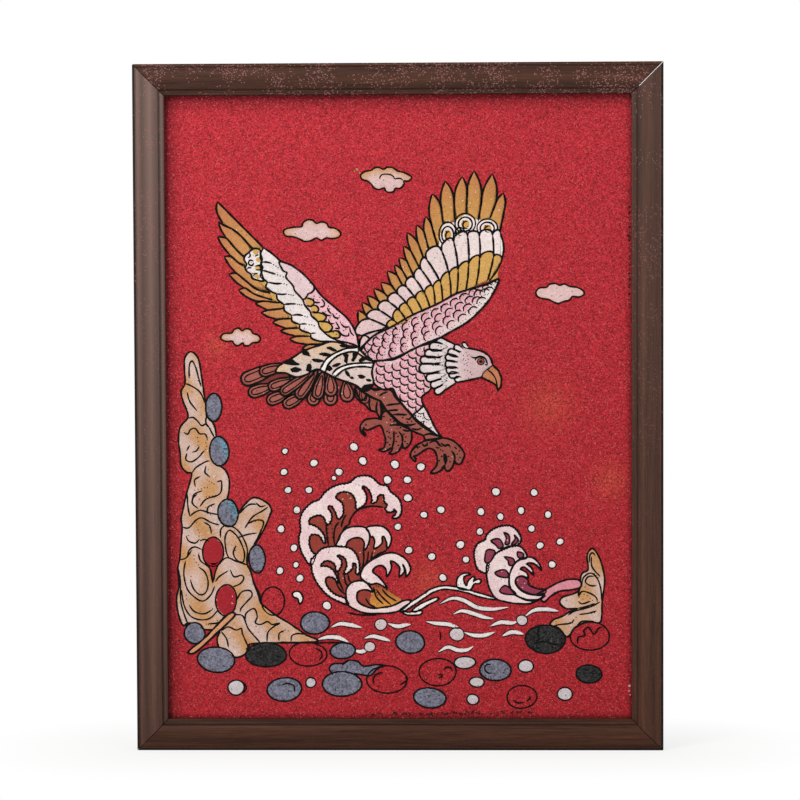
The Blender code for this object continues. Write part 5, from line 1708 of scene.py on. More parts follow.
def makeHeadAndBody():
    stone, ink = Pile(), Pile()
    plan = headPlan
    line, lifts = plan["line"], plan["lifts"]
    breast = smoothPath(plan["breast"], closed=True)
    places = lattice(breast, plan["reach"], plan["aim"])
    aims = np.full(len(places), math.radians(plan["aim"]))
    coverScales(stone, ink, breast, places, aims, plan["reach"], plan)
    addStroke(ink, breast, line, closed=True, lift=lifts["breastOutline"])
    coverPath = layPatch(stone, plan["cover"], plan["white"], lifts["cover"])
    addStroke(ink, coverPath, line, closed=True, lift=lifts["coverOutline"])
    layPatch(stone, plan["neck"], plan["white"], lifts["neck"], curved=False)
    drawLines(ink, [plan["neck"][:4], plan["neck"][6:9]], line, lift=lifts["neckLines"])
    layTongues(stone, ink, plan["ruffs"], plan["white"], lifts["ruffs"], line)
    layPatch(stone, plan["headShape"], headTint, lifts["head"], curved=False)
    layTongues(stone, ink, plan["headRuffs"], plan["white"], lifts["headRuffs"], line * 0.9)
    drawLines(ink, [plan["headShape"][4:9], plan["headShape"][11:14]], line, lift=lifts["headLines"])
    beakPath = layPatch(stone, plan["beak"], plan["ochre"], lifts["beak"], curved=False)
    addStroke(ink, beakPath, line, closed=True, lift=lifts["beakLines"])
    drawLines(ink, plan["beakLines"], line * 0.8, lift=lifts["beakLines"])
    for pile, tint, (reach, lift) in zip((ink, stone, ink), (inkColour, plan["iris"], inkColour),
                                         plan["eyeDiscs"]):
        addDot(pile, plan["eye"], reach, lift, tint)
    drawLines(ink, plan["brow"], line, lift=lifts["brow"])
    addDots(ink, plan["lineDots"] + plan["coverDots"], plan["dot"], lifts["dots"])
    stone.make("head_and_body", colouredSand, "pink_stone", "head", "beak", "body")
    ink.make("head_lines", inkFinish, "black_stone")


makeHeadAndBody()


# The rocks at the left and right, with contour lines and dots, and the leaning stick
leftRockPlan = {
    "outline": spots(158, 2341, 119, 2305, 115, 2229, 118, 2140, 93, 2089, 105, 2025, 130, 1962,
        132, 1917, 85, 1860, 74, 1771, 84, 1694, 89, 1618, 123, 1574, 156, 1567, 146, 1516, 120, 1427,
        100, 1338, 87, 1275, 93, 1224, 86, 1135, 76, 1020, 63, 957, 71, 855, 54, 766, 66, 664, 95, 594,
        133, 611, 222, 572, 273, 566, 328, 560, 312, 511, 325, 448, 381, 410, 438, 390, 493, 415,
        511, 460, 559, 480, 939, 491, 878, 534, 764, 613, 688, 658, 624, 709, 589, 740, 576, 791,
        549, 861, 526, 944, 504, 995, 527, 1071, 563, 1122, 615, 1211, 653, 1300, 662, 1336, 633, 1379,
        552, 1411, 491, 1364, 450, 1306, 411, 1239, 354, 1243, 338, 1287, 384, 1415, 395, 1516,
        375, 1580, 340, 1612, 307, 1644, 313, 1771, 307, 1854, 282, 1904, 253, 1934, 251, 1987,
        236, 2089, 220, 2203, 202, 2299),
    "lines": [
        spots(118, 2140, 163, 2121, 213, 2083, 246, 2013),
        spots(144, 2172, 146, 2254, 164, 2282, 186, 2242, 207, 2165, 220, 2121),
        spots(132, 1917, 168, 1923, 199, 1896, 222, 1870, 253, 1879, 285, 1828, 303, 1794),
        spots(253, 1934, 248, 1898, 258, 1862), spots(131, 2083, 147, 2025, 193, 1964),
        spots(107, 1828, 133, 1817, 151, 1847, 182, 1852, 208, 1819, 243, 1817, 258, 1787),
        spots(127, 1697, 119, 1656, 153, 1640, 198, 1667, 236, 1711), spots(144, 1745, 124, 1710),
        spots(160, 1701, 188, 1711, 206, 1739), spots(156, 1567, 185, 1605, 246, 1641, 271, 1646),
        spots(248, 1616, 240, 1574, 256, 1557, 273, 1542), spots(179, 1481, 174, 1523, 210, 1548),
        spots(158, 1399, 173, 1434, 224, 1457), spots(196, 1341, 160, 1374, 163, 1408, 190, 1434),
        spots(206, 1354, 247, 1402, 317, 1425, 344, 1455, 344, 1516, 316, 1511),
        spots(126, 1438, 130, 1357, 142, 1292), spots(253, 1310, 259, 1351, 303, 1374),
        spots(142, 1292, 170, 1315, 211, 1331, 265, 1315, 325, 1303),
        spots(93, 1224, 134, 1219, 180, 1267, 221, 1282, 279, 1252, 330, 1237),
        spots(279, 1183, 269, 1230, 233, 1254), spots(118, 1167, 133, 1135, 176, 1122, 202, 1147),
        spots(126, 1030, 133, 1071, 169, 1097, 217, 1081), spots(76, 1014, 115, 1027, 153, 1076),
        spots(204, 1135, 235, 1145, 263, 1132),
        spots(194, 1056, 209, 1008, 252, 976, 277, 944, 284, 865),
        spots(112, 1008, 101, 925, 122, 829, 173, 772, 224, 751, 273, 791, 297, 845),
        spots(196, 969, 237, 934, 256, 870, 243, 809, 205, 791, 164, 827, 142, 887),
        spots(85, 823, 102, 721, 143, 654, 204, 631, 267, 641, 321, 696),
        spots(133, 725, 168, 683, 229, 669, 283, 697),
        spots(66, 957, 78, 880, 80, 753, 100, 670, 125, 603), spots(254, 605, 318, 613, 367, 661),
        spots(337, 1154, 340, 1211, 376, 1234, 431, 1216, 474, 1167, 507, 1084, 501, 997),
        spots(392, 1020, 372, 1071, 366, 1158, 393, 1203, 436, 1173, 469, 1119, 489, 1056, 481, 1002,
            442, 1010, 418, 1056, 436, 1107),
        spots(284, 865, 313, 967, 372, 1027, 435, 1005, 506, 982), spots(302, 873, 328, 908, 384, 944),
        spots(397, 950, 422, 906, 470, 916, 483, 893, 460, 861, 411, 840),
        spots(434, 753, 470, 809, 523, 817, 536, 785, 507, 751, 466, 705, 459, 682),
        spots(337, 560, 382, 585, 432, 565, 466, 575, 473, 542, 508, 460),
        spots(420, 664, 471, 659, 491, 623, 511, 572, 562, 511, 587, 483),
        spots(491, 623, 497, 672, 548, 702, 568, 651, 555, 613, 588, 600, 634, 619, 662, 600, 713, 611),
        spots(629, 486, 636, 550, 675, 588, 715, 607), spots(706, 496, 707, 542, 741, 562),
        spots(783, 492, 789, 529, 827, 542, 868, 537), spots(337, 556, 371, 509, 383, 453),
        spots(452, 1305, 516, 1364, 572, 1369), spots(565, 1379, 593, 1354, 626, 1361),
        spots(492, 1216, 541, 1287, 605, 1326, 641, 1351),
        spots(507, 1243, 564, 1267, 612, 1256, 589, 1186, 548, 1109),
        spots(442, 1154, 506, 1175, 570, 1186), spots(589, 740, 584, 791, 546, 868),
    ],
    "dots": spots(143, 2216, 150, 2193, 195, 2203, 199, 2178, 201, 2158, 196, 1796, 201, 1771, 198, 1745,
        247, 1761, 252, 1740, 244, 1720, 257, 1781, 261, 1593, 268, 1516, 283, 1506, 298, 1499,
        176, 1459, 196, 1463, 217, 1468, 237, 1476, 255, 1478, 247, 1417, 267, 1420, 288, 1422,
        308, 1427, 244, 1326, 259, 1313, 274, 1303, 282, 1356, 295, 1366, 195, 1206, 205, 1186,
        200, 1165, 266, 1219, 276, 1198, 131, 1170, 166, 1043, 168, 1020, 181, 997, 196, 982, 147, 908,
        144, 885, 149, 862, 242, 603, 257, 600, 272, 598, 283, 702, 270, 689, 433, 1074, 423, 1089,
        513, 1244, 533, 1252, 559, 1259, 746, 565, 766, 560, 840, 542, 503, 463, 495, 445, 587, 483,
        118, 766, 116, 789, 313, 626, 334, 631),
    "stick": spots(423, 656, 305, 542, 177, 427, 126, 418, 141, 441, 228, 511, 318, 603, 392, 672),
    "line": 1.3,
    "ochre": displayColour(196, 146, 98),
    "pale": displayColour(208, 180, 168),
    "stickTint": displayColour(208, 150, 110),
    # Height above the stone's face, in millimetres, for both heaps
    "lifts": {"stone": 0.0, "outline": 0.08, "lines": 0.1, "stick": 0.24, "stickOutline": 0.32},
    "dot": 0.45,
}

rightRockPlan = {
    "outline": spots(2701, 1084, 2669, 1039, 2675, 950, 2637, 925, 2624, 874, 2621, 823, 2583, 795,
        2511, 772, 2496, 734, 2537, 701, 2610, 701, 2559, 681, 2508, 650, 2457, 630, 2432, 597,
        2483, 579, 2534, 523, 2562, 537, 2580, 569, 2625, 600, 2687, 619, 2753, 617, 2763, 747,
        2779, 874, 2766, 963, 2739, 1039),
    "lines": [
        spots(2684, 994, 2685, 1039, 2703, 1057, 2721, 1037), spots(2695, 1032, 2700, 966, 2751, 904),
        spots(2634, 846, 2644, 897, 2687, 927, 2726, 902, 2753, 836, 2761, 747),
        spots(2728, 846, 2687, 848, 2657, 871, 2675, 904, 2713, 907),
        spots(2616, 780, 2636, 810, 2687, 798, 2725, 772, 2733, 744),
        spots(2611, 747, 2636, 731, 2690, 747), spots(2605, 701, 2664, 714, 2715, 734),
        spots(2618, 663, 2674, 670, 2730, 686), spots(2547, 658, 2587, 683, 2687, 711, 2751, 744),
        spots(2447, 581, 2483, 597, 2562, 607, 2587, 632), spots(2604, 594, 2636, 619, 2687, 622),
        spots(2624, 823, 2613, 798, 2618, 770),
    ],
    "dots": spots(2713, 925, 2726, 912, 2738, 897, 2745, 874, 2751, 855, 2636, 846, 2655, 838, 2649, 791,
        2668, 782, 2598, 645, 2578, 626, 2559, 613, 2546, 600, 2610, 600, 2623, 609, 2687, 766,
        2702, 753, 2697, 670, 2715, 675),
    "line": 1.3,
}


def rockTint(points):
    # Ochre and pale pink run into each other in long uneven bands.
    across, up = points[:, 0], points[:, 1]
    wave = np.sin(across * 0.31 + 1.7 * np.sin(up * 0.11)) + np.sin(up * 0.23 + across * 0.17 + 1.0)
    share = np.clip(0.45 + 0.34 * wave, 0, 1)[:, None]
    return lerp(leftRockPlan["pale"], leftRockPlan["ochre"], share)


def makeRocks():
    stone, ink = Pile(), Pile()
    lifts = leftRockPlan["lifts"]
    for plan in (leftRockPlan, rightRockPlan):
        path = layPatch(stone, plan["outline"], rockTint, lifts["stone"])
        addStroke(ink, path, plan["line"], closed=True, lift=lifts["outline"])
        drawLines(ink, plan["lines"], plan["line"] * 0.9, lift=lifts["lines"])
        addDots(ink, plan["dots"], leftRockPlan["dot"], lifts["lines"])
    stick = layPatch(stone, leftRockPlan["stick"], leftRockPlan["stickTint"], lifts["stick"])
    addStroke(ink, stick, leftRockPlan["line"], closed=True, lift=lifts["stickOutline"])
    stone.make("rocks", colouredSand, "cream_stone", "left_rocks", "right_rocks")
    ink.make("rock_lines", inkFinish, "black_stone")


makeRocks()


# The waves: patches of foam, each over the one before, with hooked fingers on a dark red inside
wavePlan = {
    "inside": [
        spots(908, 1271, 967, 1294, 1031, 1348, 1067, 1339, 1090, 1430, 1131, 1448, 1190, 1421,
            1203, 1339, 1258, 1353, 1385, 1430, 1399, 1348, 1312, 1354, 1240, 1339, 1176, 1285,
            1159, 1237, 1257, 1223, 1375, 1185, 1416, 1103, 1329, 1030, 1256, 985, 1228, 894, 1155, 830,
            1137, 767, 1046, 803, 992, 885, 965, 958, 929, 1048, 902, 1121, 912, 1176),
    ],
    "foam": [
        spots(1448, 1277, 1476, 1289, 1492, 1330, 1483, 1385, 1462, 1416, 1422, 1448, 1399, 1485,
            1354, 1494, 1304, 1539, 1259, 1550, 1204, 1541, 1159, 1505, 1095, 1494, 1040, 1471,
            999, 1439, 967, 1398, 922, 1380, 885, 1348, 858, 1312, 844, 1266, 848, 1203, 837, 1157,
            843, 1094, 865, 1039, 912, 978, 943, 1041, 920, 1067, 902, 1117, 910, 1167, 939, 1176,
            971, 1162, 989, 1130, 1004, 1119, 999, 1167, 966, 1212, 930, 1235, 903, 1244, 908, 1276,
            958, 1298, 994, 1285, 1010, 1248, 1021, 1236, 1044, 1266, 1044, 1312, 1022, 1346,
            1044, 1357, 1067, 1321, 1087, 1274, 1114, 1294, 1121, 1330, 1113, 1376, 1076, 1407,
            1086, 1435, 1131, 1448, 1176, 1430, 1199, 1385, 1203, 1337, 1240, 1353, 1265, 1380,
            1267, 1430, 1240, 1480, 1272, 1471, 1295, 1435, 1303, 1394, 1298, 1374, 1332, 1385,
            1344, 1421, 1376, 1426, 1381, 1385, 1400, 1362, 1387, 1339, 1405, 1316, 1437, 1321,
            1443, 1335, 1457, 1319, 1448, 1298, 1430, 1285),
        spots(1075, 1103, 1093, 1148, 1112, 1189, 1148, 1217, 1212, 1226, 1262, 1217, 1284, 1185,
            1284, 1130, 1264, 1085, 1249, 1076, 1253, 1121, 1229, 1152, 1184, 1152, 1148, 1130,
            1129, 1096),
        spots(1266, 1217, 1312, 1230, 1366, 1226, 1402, 1203, 1425, 1157, 1418, 1112, 1398, 1085,
            1395, 1121, 1379, 1161, 1366, 1157, 1366, 1121, 1338, 1094, 1313, 1088, 1320, 1130,
            1307, 1162, 1295, 1157, 1286, 1185),
        spots(915, 976, 913, 1012, 943, 1044, 984, 1085, 1047, 1098, 1111, 1098, 1166, 1085, 1202, 1048,
            1220, 994, 1221, 939, 1208, 919, 1197, 935, 1201, 976, 1183, 994, 1176, 958, 1147, 930,
            1121, 924, 1140, 976, 1129, 1021, 1093, 1044, 1083, 1037, 1106, 1012, 1106, 976, 1083, 939,
            1069, 947, 1067, 976, 1038, 1003, 1002, 1005, 974, 976, 1019, 971, 1056, 944, 1084, 885,
            1081, 867, 1055, 898, 1019, 903, 1005, 883, 1019, 839, 1064, 794, 1132, 765, 1147, 726,
            1064, 758, 1009, 794, 955, 858, 924, 921),
        spots(1228, 921, 1256, 976, 1302, 1012, 1374, 1048, 1438, 1057, 1502, 1030, 1538, 985,
            1545, 944, 1519, 907, 1515, 948, 1496, 987, 1507, 939, 1474, 907, 1479, 958, 1451, 994,
            1420, 1005, 1424, 958, 1396, 907, 1392, 948, 1365, 976, 1329, 971, 1305, 939, 1346, 903,
            1384, 856, 1393, 832, 1337, 862, 1292, 858, 1242, 885),
        spots(1145, 726, 1137, 767, 1137, 821, 1164, 862, 1219, 880, 1264, 867, 1296, 830, 1305, 807,
            1273, 821, 1228, 819, 1205, 794, 1209, 749, 1255, 717, 1309, 703, 1382, 710, 1436, 721,
            1500, 751, 1550, 752, 1500, 703, 1427, 676, 1291, 671, 1218, 685),
    ],
    "curl": spots(1205, 794, 1228, 819, 1273, 821, 1302, 803, 1311, 758, 1309, 705, 1255, 718, 1213, 749),
    "fan": spots(1292, 856, 1337, 861, 1396, 833, 1437, 794, 1500, 755, 1436, 723, 1373, 707, 1311, 703,
        1280, 732, 1291, 794),
    "lines": [
        spots(1157, 1235, 1167, 1276, 1203, 1324, 1258, 1348, 1312, 1356, 1376, 1348),
        spots(1025, 1103, 1017, 1157, 1010, 1230),
        spots(1066, 1105, 1059, 1157, 1068, 1221, 1094, 1257),
        spots(1107, 1221, 1114, 1257, 1139, 1303), spots(1112, 1189, 1130, 1221, 1155, 1239),
        spots(1067, 1094, 1086, 1139, 1104, 1185), spots(1247, 1076, 1249, 1012, 1234, 939),
        spots(1279, 1067, 1274, 1021, 1261, 985), spots(1304, 1067, 1300, 1039, 1292, 1017),
        spots(1398, 1085, 1384, 1067, 1338, 1048, 1292, 1012), spots(1085, 939, 1090, 885, 1120, 812),
        spots(1121, 924, 1133, 867, 1151, 839), spots(1065, 894, 1091, 830, 1135, 787),
        spots(1148, 921, 1155, 885, 1172, 865), spots(1310, 839, 1328, 776, 1373, 730),
        spots(1328, 823, 1366, 774, 1420, 726), spots(1364, 825, 1402, 783, 1457, 749),
        spots(1259, 769, 1284, 730, 1327, 707), spots(1373, 832, 1395, 839, 1393, 816),
        spots(1245, 1480, 1269, 1430, 1265, 1383), spots(1145, 676, 1218, 662, 1327, 659),
    ],
    "dots": spots(1007, 1230, 1021, 1212, 1022, 1185, 1024, 1157, 1046, 1239, 1048, 1212, 1050, 1185,
        1051, 1157, 1128, 1294, 1123, 1274, 1119, 1253, 1276, 1057, 1274, 1039, 1090, 921, 1092, 898,
        1095, 876, 1319, 821, 1328, 803, 1337, 789, 1283, 867, 1328, 847, 1342, 843, 1022, 1350,
        1036, 1361, 1083, 1274),
    "smallFoam": [
        spots(2032, 931, 1975, 950, 1956, 1001, 1952, 1065, 1975, 1116, 2020, 1141, 2033, 1173,
            2078, 1211, 2141, 1230, 2192, 1224, 2230, 1192, 2250, 1141, 2224, 1103, 2179, 1093,
            2090, 1052, 2051, 1001),
        spots(2089, 766, 2051, 823, 2032, 899, 2032, 976, 2064, 1027, 2115, 1071, 2179, 1100,
            2243, 1097, 2281, 1052, 2283, 1020, 2242, 1011, 2207, 982, 2176, 912, 2176, 836, 2216, 785,
            2305, 749, 2369, 762, 2305, 734, 2216, 734, 2140, 747),
        spots(2366, 763, 2292, 758, 2216, 787, 2181, 836, 2175, 912, 2207, 988, 2255, 1020, 2319, 1027,
            2363, 988, 2378, 943, 2357, 968, 2321, 991, 2283, 988, 2316, 960, 2329, 916, 2303, 938,
            2268, 966, 2245, 953, 2283, 931, 2293, 897, 2252, 910, 2219, 894, 2216, 855, 2267, 805,
            2343, 787, 2401, 800),
        spots(2343, 787, 2407, 823, 2484, 866, 2560, 887, 2620, 880, 2626, 838, 2560, 820, 2496, 813,
            2435, 779, 2397, 744, 2376, 759, 2401, 785),
    ],
    "smallInside": [
        spots(2058, 1135, 2109, 1146, 2136, 1103, 2110, 1084, 2085, 1109),
        spots(2141, 1186, 2173, 1167, 2174, 1116, 2147, 1113, 2156, 1151),
        spots(2205, 1173, 2233, 1135, 2204, 1108, 2189, 1113, 2212, 1146),
        spots(2018, 1019, 2033, 1075, 2085, 1065, 2054, 1001, 2026, 994),
        spots(2143, 1032, 2198, 1020, 2207, 988, 2176, 976, 2166, 1006),
        spots(2227, 1062, 2265, 1052, 2258, 1024, 2230, 1029),
        spots(2083, 931, 2140, 950, 2168, 925, 2163, 899, 2110, 906),
        spots(2112, 815, 2146, 848, 2193, 820, 2214, 791, 2142, 795),
        spots(2219, 894, 2255, 906, 2293, 884, 2295, 855, 2344, 829, 2407, 817, 2382, 790, 2305, 796,
            2248, 823, 2219, 859),
    ],
    "smallDots": spots(2305, 861, 2324, 846, 2344, 838, 2363, 833, 2382, 831, 2401, 828, 2267, 874,
        2280, 855, 2248, 855, 2458, 804, 2483, 813, 2509, 817),
    "ribbons": [
        spots(1477, 696, 1554, 747, 1641, 803, 1669, 823, 1745, 846, 1834, 840, 1923, 818, 2002, 795,
            2091, 767, 2078, 759, 1987, 775, 1911, 800, 1822, 820, 1745, 823, 1681, 800, 1630, 766,
            1560, 719, 1496, 681),
        spots(1556, 689, 1592, 721, 1656, 753, 1713, 773, 1722, 758, 1668, 730, 1611, 696, 1574, 679),
        spots(1480, 700, 1522, 679, 1579, 684, 1620, 687, 1607, 664, 1547, 659, 1503, 669),
        spots(1847, 833, 1842, 887, 1873, 922, 1911, 927, 1929, 917, 1898, 912, 1883, 887, 1901, 846,
            1911, 874, 1939, 902, 1957, 897, 1944, 874, 1975, 889, 1995, 882, 1985, 861, 1952, 859,
            1934, 828, 1911, 818),
    ],
    "comma": spots(793, 797, 814, 812, 844, 805, 860, 769, 847, 734, 833, 739, 829, 765, 802, 776),
    "line": 1.3,
    "foamTint": displayColour(236, 216, 214),
    "foamPink": displayColour(228, 196, 200),
    "insideTint": displayColour(146, 60, 50),
    "smallInsideTint": displayColour(140, 58, 78),
    "tailTint": displayColour(216, 140, 152),
    "ribbonTint": displayColour(238, 230, 226),
    "gold": displayColour(205, 140, 66),
    "fanBrown": displayColour(156, 76, 50),
    "dot": 0.42,
    # Height above the stone's face, in millimetres; outlines lie outlineLift above their patch
    "lifts": {"inside": -0.02, "curl": 0.02, "fan": 0.03, "foam": 0.06, "lines": 0.13, "smallFoam": 0.04,
              "smallInside": 0.2, "ribbons": 0.1, "dots": 0.27},
    "foamStep": 0.02,
    "smallFoamStep": 0.04,
    "outlineLift": 0.08,
}


def scalloped(points, depth=0.22, length=2.2):
    # The path with small even waves pushed out along it.
    path = smoothPath(points, closed=True, step=0.4)
    gaps = np.hypot(*(np.roll(path, -1, axis=0) - path).T)
    reach = np.concatenate([[0.0], np.cumsum(gaps)[:-1]])
    count = max(3, round(gaps.sum() / length))
    return path + normalsOf(path, True) * (depth * np.cos(2 * np.pi * count * reach / gaps.sum()))[:, None]


def foamColour(points):
    # Pinker along the outer crests, whiter below.
    share = np.clip(0.5 + 0.5 * np.sin(points[:, 0] * 0.2 + points[:, 1] * 0.13), 0, 1)[:, None] * 0.8
    return lerp(wavePlan["foamTint"], wavePlan["foamPink"], share)


def fanColour(points):
    # Brown at the top of the fan, running to gold at its foot.
    top, foot = wavePlan["fan"][1][1], wavePlan["fan"][7][1]
    share = np.clip((top - points[:, 1]) / (top - foot) * 1.5 - 0.2, 0, 1)[:, None]
    return lerp(wavePlan["fanBrown"], wavePlan["gold"], share)


def makeWaves():
    stone, ink = Pile(), Pile()
    plan = wavePlan
    line, lifts, above = plan["line"], plan["lifts"], plan["outlineLift"]
    for outline in plan["inside"]:
        layPatch(stone, outline, plan["insideTint"], lifts["inside"], rise=0.1)
    layPatch(stone, plan["curl"], plan["insideTint"], lifts["curl"], rise=0.1)
    layPatch(stone, plan["fan"], fanColour, lifts["fan"], rise=0.1, curved=False)
    for number, outline in enumerate(plan["foam"]):
        path = scalloped(outline) if number in (0, 3) else smoothPath(outline, closed=True)
        lift = lifts["foam"] + plan["foamStep"] * number
        addFill(stone, path, foamColour, lift=lift)
        addStroke(ink, path, line, closed=True, lift=lift + above)
    drawLines(ink, plan["lines"], line * 0.9, lift=lifts["lines"])
    for number, outline in enumerate(plan["smallFoam"]):
        path = scalloped(outline, 0.25, 1.8) if number == 0 else smoothPath(outline, closed=True)
        lift = lifts["smallFoam"] + plan["smallFoamStep"] * number
        addFill(stone, path, plan["tailTint"] if number == 3 else foamColour, lift=lift)
        addStroke(ink, path, line, closed=True, lift=lift + above)
    for outline in plan["smallInside"]:
        path = layPatch(stone, outline, plan["smallInsideTint"], lifts["smallInside"], rise=0.08)
        addStroke(ink, path, line * 0.8, closed=True, lift=lifts["smallInside"] + above)
    for outline in plan["ribbons"] + [plan["comma"]]:
        path = layPatch(stone, outline, plan["ribbonTint"], lifts["ribbons"])
        addStroke(ink, path, line * 0.9, closed=True, lift=lifts["ribbons"] + above)
    addDots(ink, plan["dots"] + plan["smallDots"], plan["dot"], lifts["dots"])
    stone.make("waves", colouredSand, "foam_stone", "big_wave", "small_wave")
    ink.make("wave_lines", inkFinish, "black_stone")


makeWaves()


# Marks on the pebbles, stray grains along the frame, and a few loose specks
markPlan = {
    "greyCloud": spots(1050, 257, 1025, 318, 1053, 349, 1114, 351, 1151, 371, 1208, 364, 1244, 333,
        1323, 343, 1389, 338, 1329, 314, 1294, 275, 1240, 277, 1182, 287, 1176, 231, 1067, 231),
    "redTail": spots(227, 1018, 264, 959, 279, 874, 292, 874, 310, 957, 344, 1018, 285, 995),
    "lines": [
        spots(1050, 277, 1025, 318, 1053, 349, 1114, 351, 1151, 371, 1208, 364, 1244, 333, 1323, 343,
            1389, 338),
        spots(1389, 338, 1329, 314, 1294, 275, 1240, 277, 1182, 287),
        spots(1109, 338, 1124, 354, 1151, 371), spots(723, 214, 762, 223, 800, 206, 802, 170),
        spots(941, 448, 973, 429, 979, 397, 961, 371),
        spots(1309, 219, 1307, 257, 1329, 282, 1367, 293), spots(1516, 277, 1521, 244, 1475, 212),
        spots(486, 226, 495, 193, 476, 162), spots(712, 487, 941, 483, 1094, 485, 1160, 476),
        spots(1756, 307, 1774, 327, 1802, 321, 1809, 299),
        spots(1717, 276, 1738, 282, 1743, 268, 1722, 256),
        spots(2057, 346, 2025, 340, 2017, 314, 2036, 290, 2064, 289),
        spots(2195, 117, 2226, 98, 2267, 100), spots(2303, 142, 2303, 123, 2282, 109),
        spots(1731, 556, 1736, 530, 1734, 499),
        spots(2607, 477, 2612, 518, 2653, 528, 2646, 561, 2676, 581, 2694, 558, 2714, 536, 2735, 569,
            2760, 586),
        spots(2366, 586, 2353, 543, 2363, 508, 2345, 490),
        spots(2327, 477, 2393, 490, 2437, 477, 2495, 467), spots(229, 1015, 267, 957, 283, 870),
        spots(341, 1015, 309, 957, 287, 870),
    ],
    "dots": [
        (87.7, 37.4), (90.8, 37), (93.4, 37.4), (133.5, 20.3), (136, 19.3), (220.8, 17.2), (225, 17.4),
        (229, 17.3), (169.7, 27), (173.3, 26.1), (174.8, 27.6), (174.3, 24.8),
    ],
    "line": 1.05,
    "crumbStrips": [
        ((129.6, 2.5), (231.5, 3.7), 120, 1.1), ((293.5, 339.3), (293.7, 266.1), 40, 0.6),
    ],
    "crumb": (0.03, 0.014, 0.012),
    "chips": [
        ((293.7, 20.6), 1.0, (0.62, 0.4, 0.38)), ((293.5, 17.4), 0.7, (0.62, 0.4, 0.38)),
        ((294.1, 14.9), 0.6, (0.5, 0.3, 0.28)), ((176.3, 349.5), 0.6, (0.03, 0.02, 0.02)),
        ((185.8, 346.9), 0.55, (0.03, 0.02, 0.02)), ((121.8, 349.1), 1.0, (0.5, 0.25, 0.12)),
        ((123.3, 346.9), 0.8, (0.45, 0.2, 0.12)), ((120.2, 347.9), 0.6, (0.5, 0.24, 0.14)),
    ],
    "seed": 7,
    "dot": 0.4,
    # Smallest crumb and how much larger the largest is, in millimetres
    "crumbReach": (0.3, 0.6),
    # Height above the stone's face, in millimetres
    "lifts": {"greyCloud": -0.06, "redTail": 0.08, "lines": 0.2, "loose": 0.0},
}


def layMarks(plan):
    stone, red, ink, loose = Pile(), Pile(), Pile(), Pile()
    lifts = plan["lifts"]
    layPatch(stone, plan["greyCloud"], pebblePlan["grey"], lifts["greyCloud"], rise=0.14, curved=False)
    stone.make("grey_cloud_pebble", greySand, "grey_stone")
    layPatch(red, plan["redTail"], pebblePlan["red"], lifts["redTail"], curved=False)
    red.make("red_pebble_tail", colouredSand, "smooth_red_stone")
    drawLines(ink, plan["lines"], plan["line"], lift=lifts["lines"])
    addDots(ink, plan["dots"], plan["dot"], lifts["lines"])
    ink.make("pebble_marks", inkFinish, "black_stone")
    chance = np.random.default_rng(plan["seed"])
    smallest, more = plan["crumbReach"]
    for start, finish, count, spread in plan["crumbStrips"]:
        start, finish = np.array(start), np.array(finish)
        for share in chance.random(count):
            place = start + (finish - start) * share + chance.normal(0.0, spread * 0.5, 2)
            addDot(loose, place, smallest + more * chance.random()**2, lifts["loose"], plan["crumb"])
    for place, reach, tint in plan["chips"]:
        addDot(loose, place, reach, lifts["loose"], tint)
    loose.make("stray_grains", colouredSand, "red_stone")


layMarks(markPlan)


# Frame rails: the moulding's section carried along each side between mitred ends
railPlan = {
    "lip": [(0.0, -13.6), (0.3, -13.98), (2.95, -14.88), (3.15, -14.8)],
    "ledge": [(3.22, -14.55), (3.42, -14.55), (3.5, -15.3), (3.62, -15.42), (3.82, -15.42), (3.9, -15.3)],
    "crest": {"from": 4.0, "to": 17.5, "front": -17.5, "innerFall": 1.5, "outerFall": 2.4, "fullness": 2.4,
              "steps": 44},
    "band": [(17.6, -14.75), (17.85, -14.75), (17.95, -15.05), (19.3, -15.1)],
    "edgeRound": 0.7,
    "edgeDepth": -15.1,
    "backDepth": -0.7,
    "rebateWall": 5.5,
    "rebateDepth": -10.7,
    "width": 20.0,
    "setback": 0.212,
    "jointWidth": 0.32,
    "jointDepth": 0.12,
    # The joint is open in front of this depth only
    "jointFrom": -13.0,
    # Edges sharper than this, in degrees, stay crisp
    "crispAngle": 28,
}


def railSection(plan):
    # Distance out from the sight edge and depth, in millimetres; the crest is front + fall * |t|^fullness.
    crest = plan["crest"]
    t = np.linspace(-1, 1, crest["steps"] + 1)
    fall = np.where(t > 0, crest["outerFall"], crest["innerFall"])
    across = (crest["from"] + crest["to"]) / 2 + t * (crest["to"] - crest["from"]) / 2
    arc = np.stack([across, crest["front"] + fall * np.abs(t)**crest["fullness"]], axis=1)
    turn = np.linspace(0, np.pi / 2, 6)
    edge = np.stack([plan["width"] - plan["edgeRound"] * (1 - np.sin(turn)),
                     plan["edgeDepth"] + plan["edgeRound"] * (1 - np.cos(turn))], axis=1)
    back = [(plan["width"], plan["backDepth"]), (plan["rebateWall"], plan["backDepth"]),
            (plan["rebateWall"], plan["rebateDepth"]), (0.0, plan["rebateDepth"])]
    return np.vstack([plan["lip"], plan["ledge"], arc, plan["band"], edge, back])


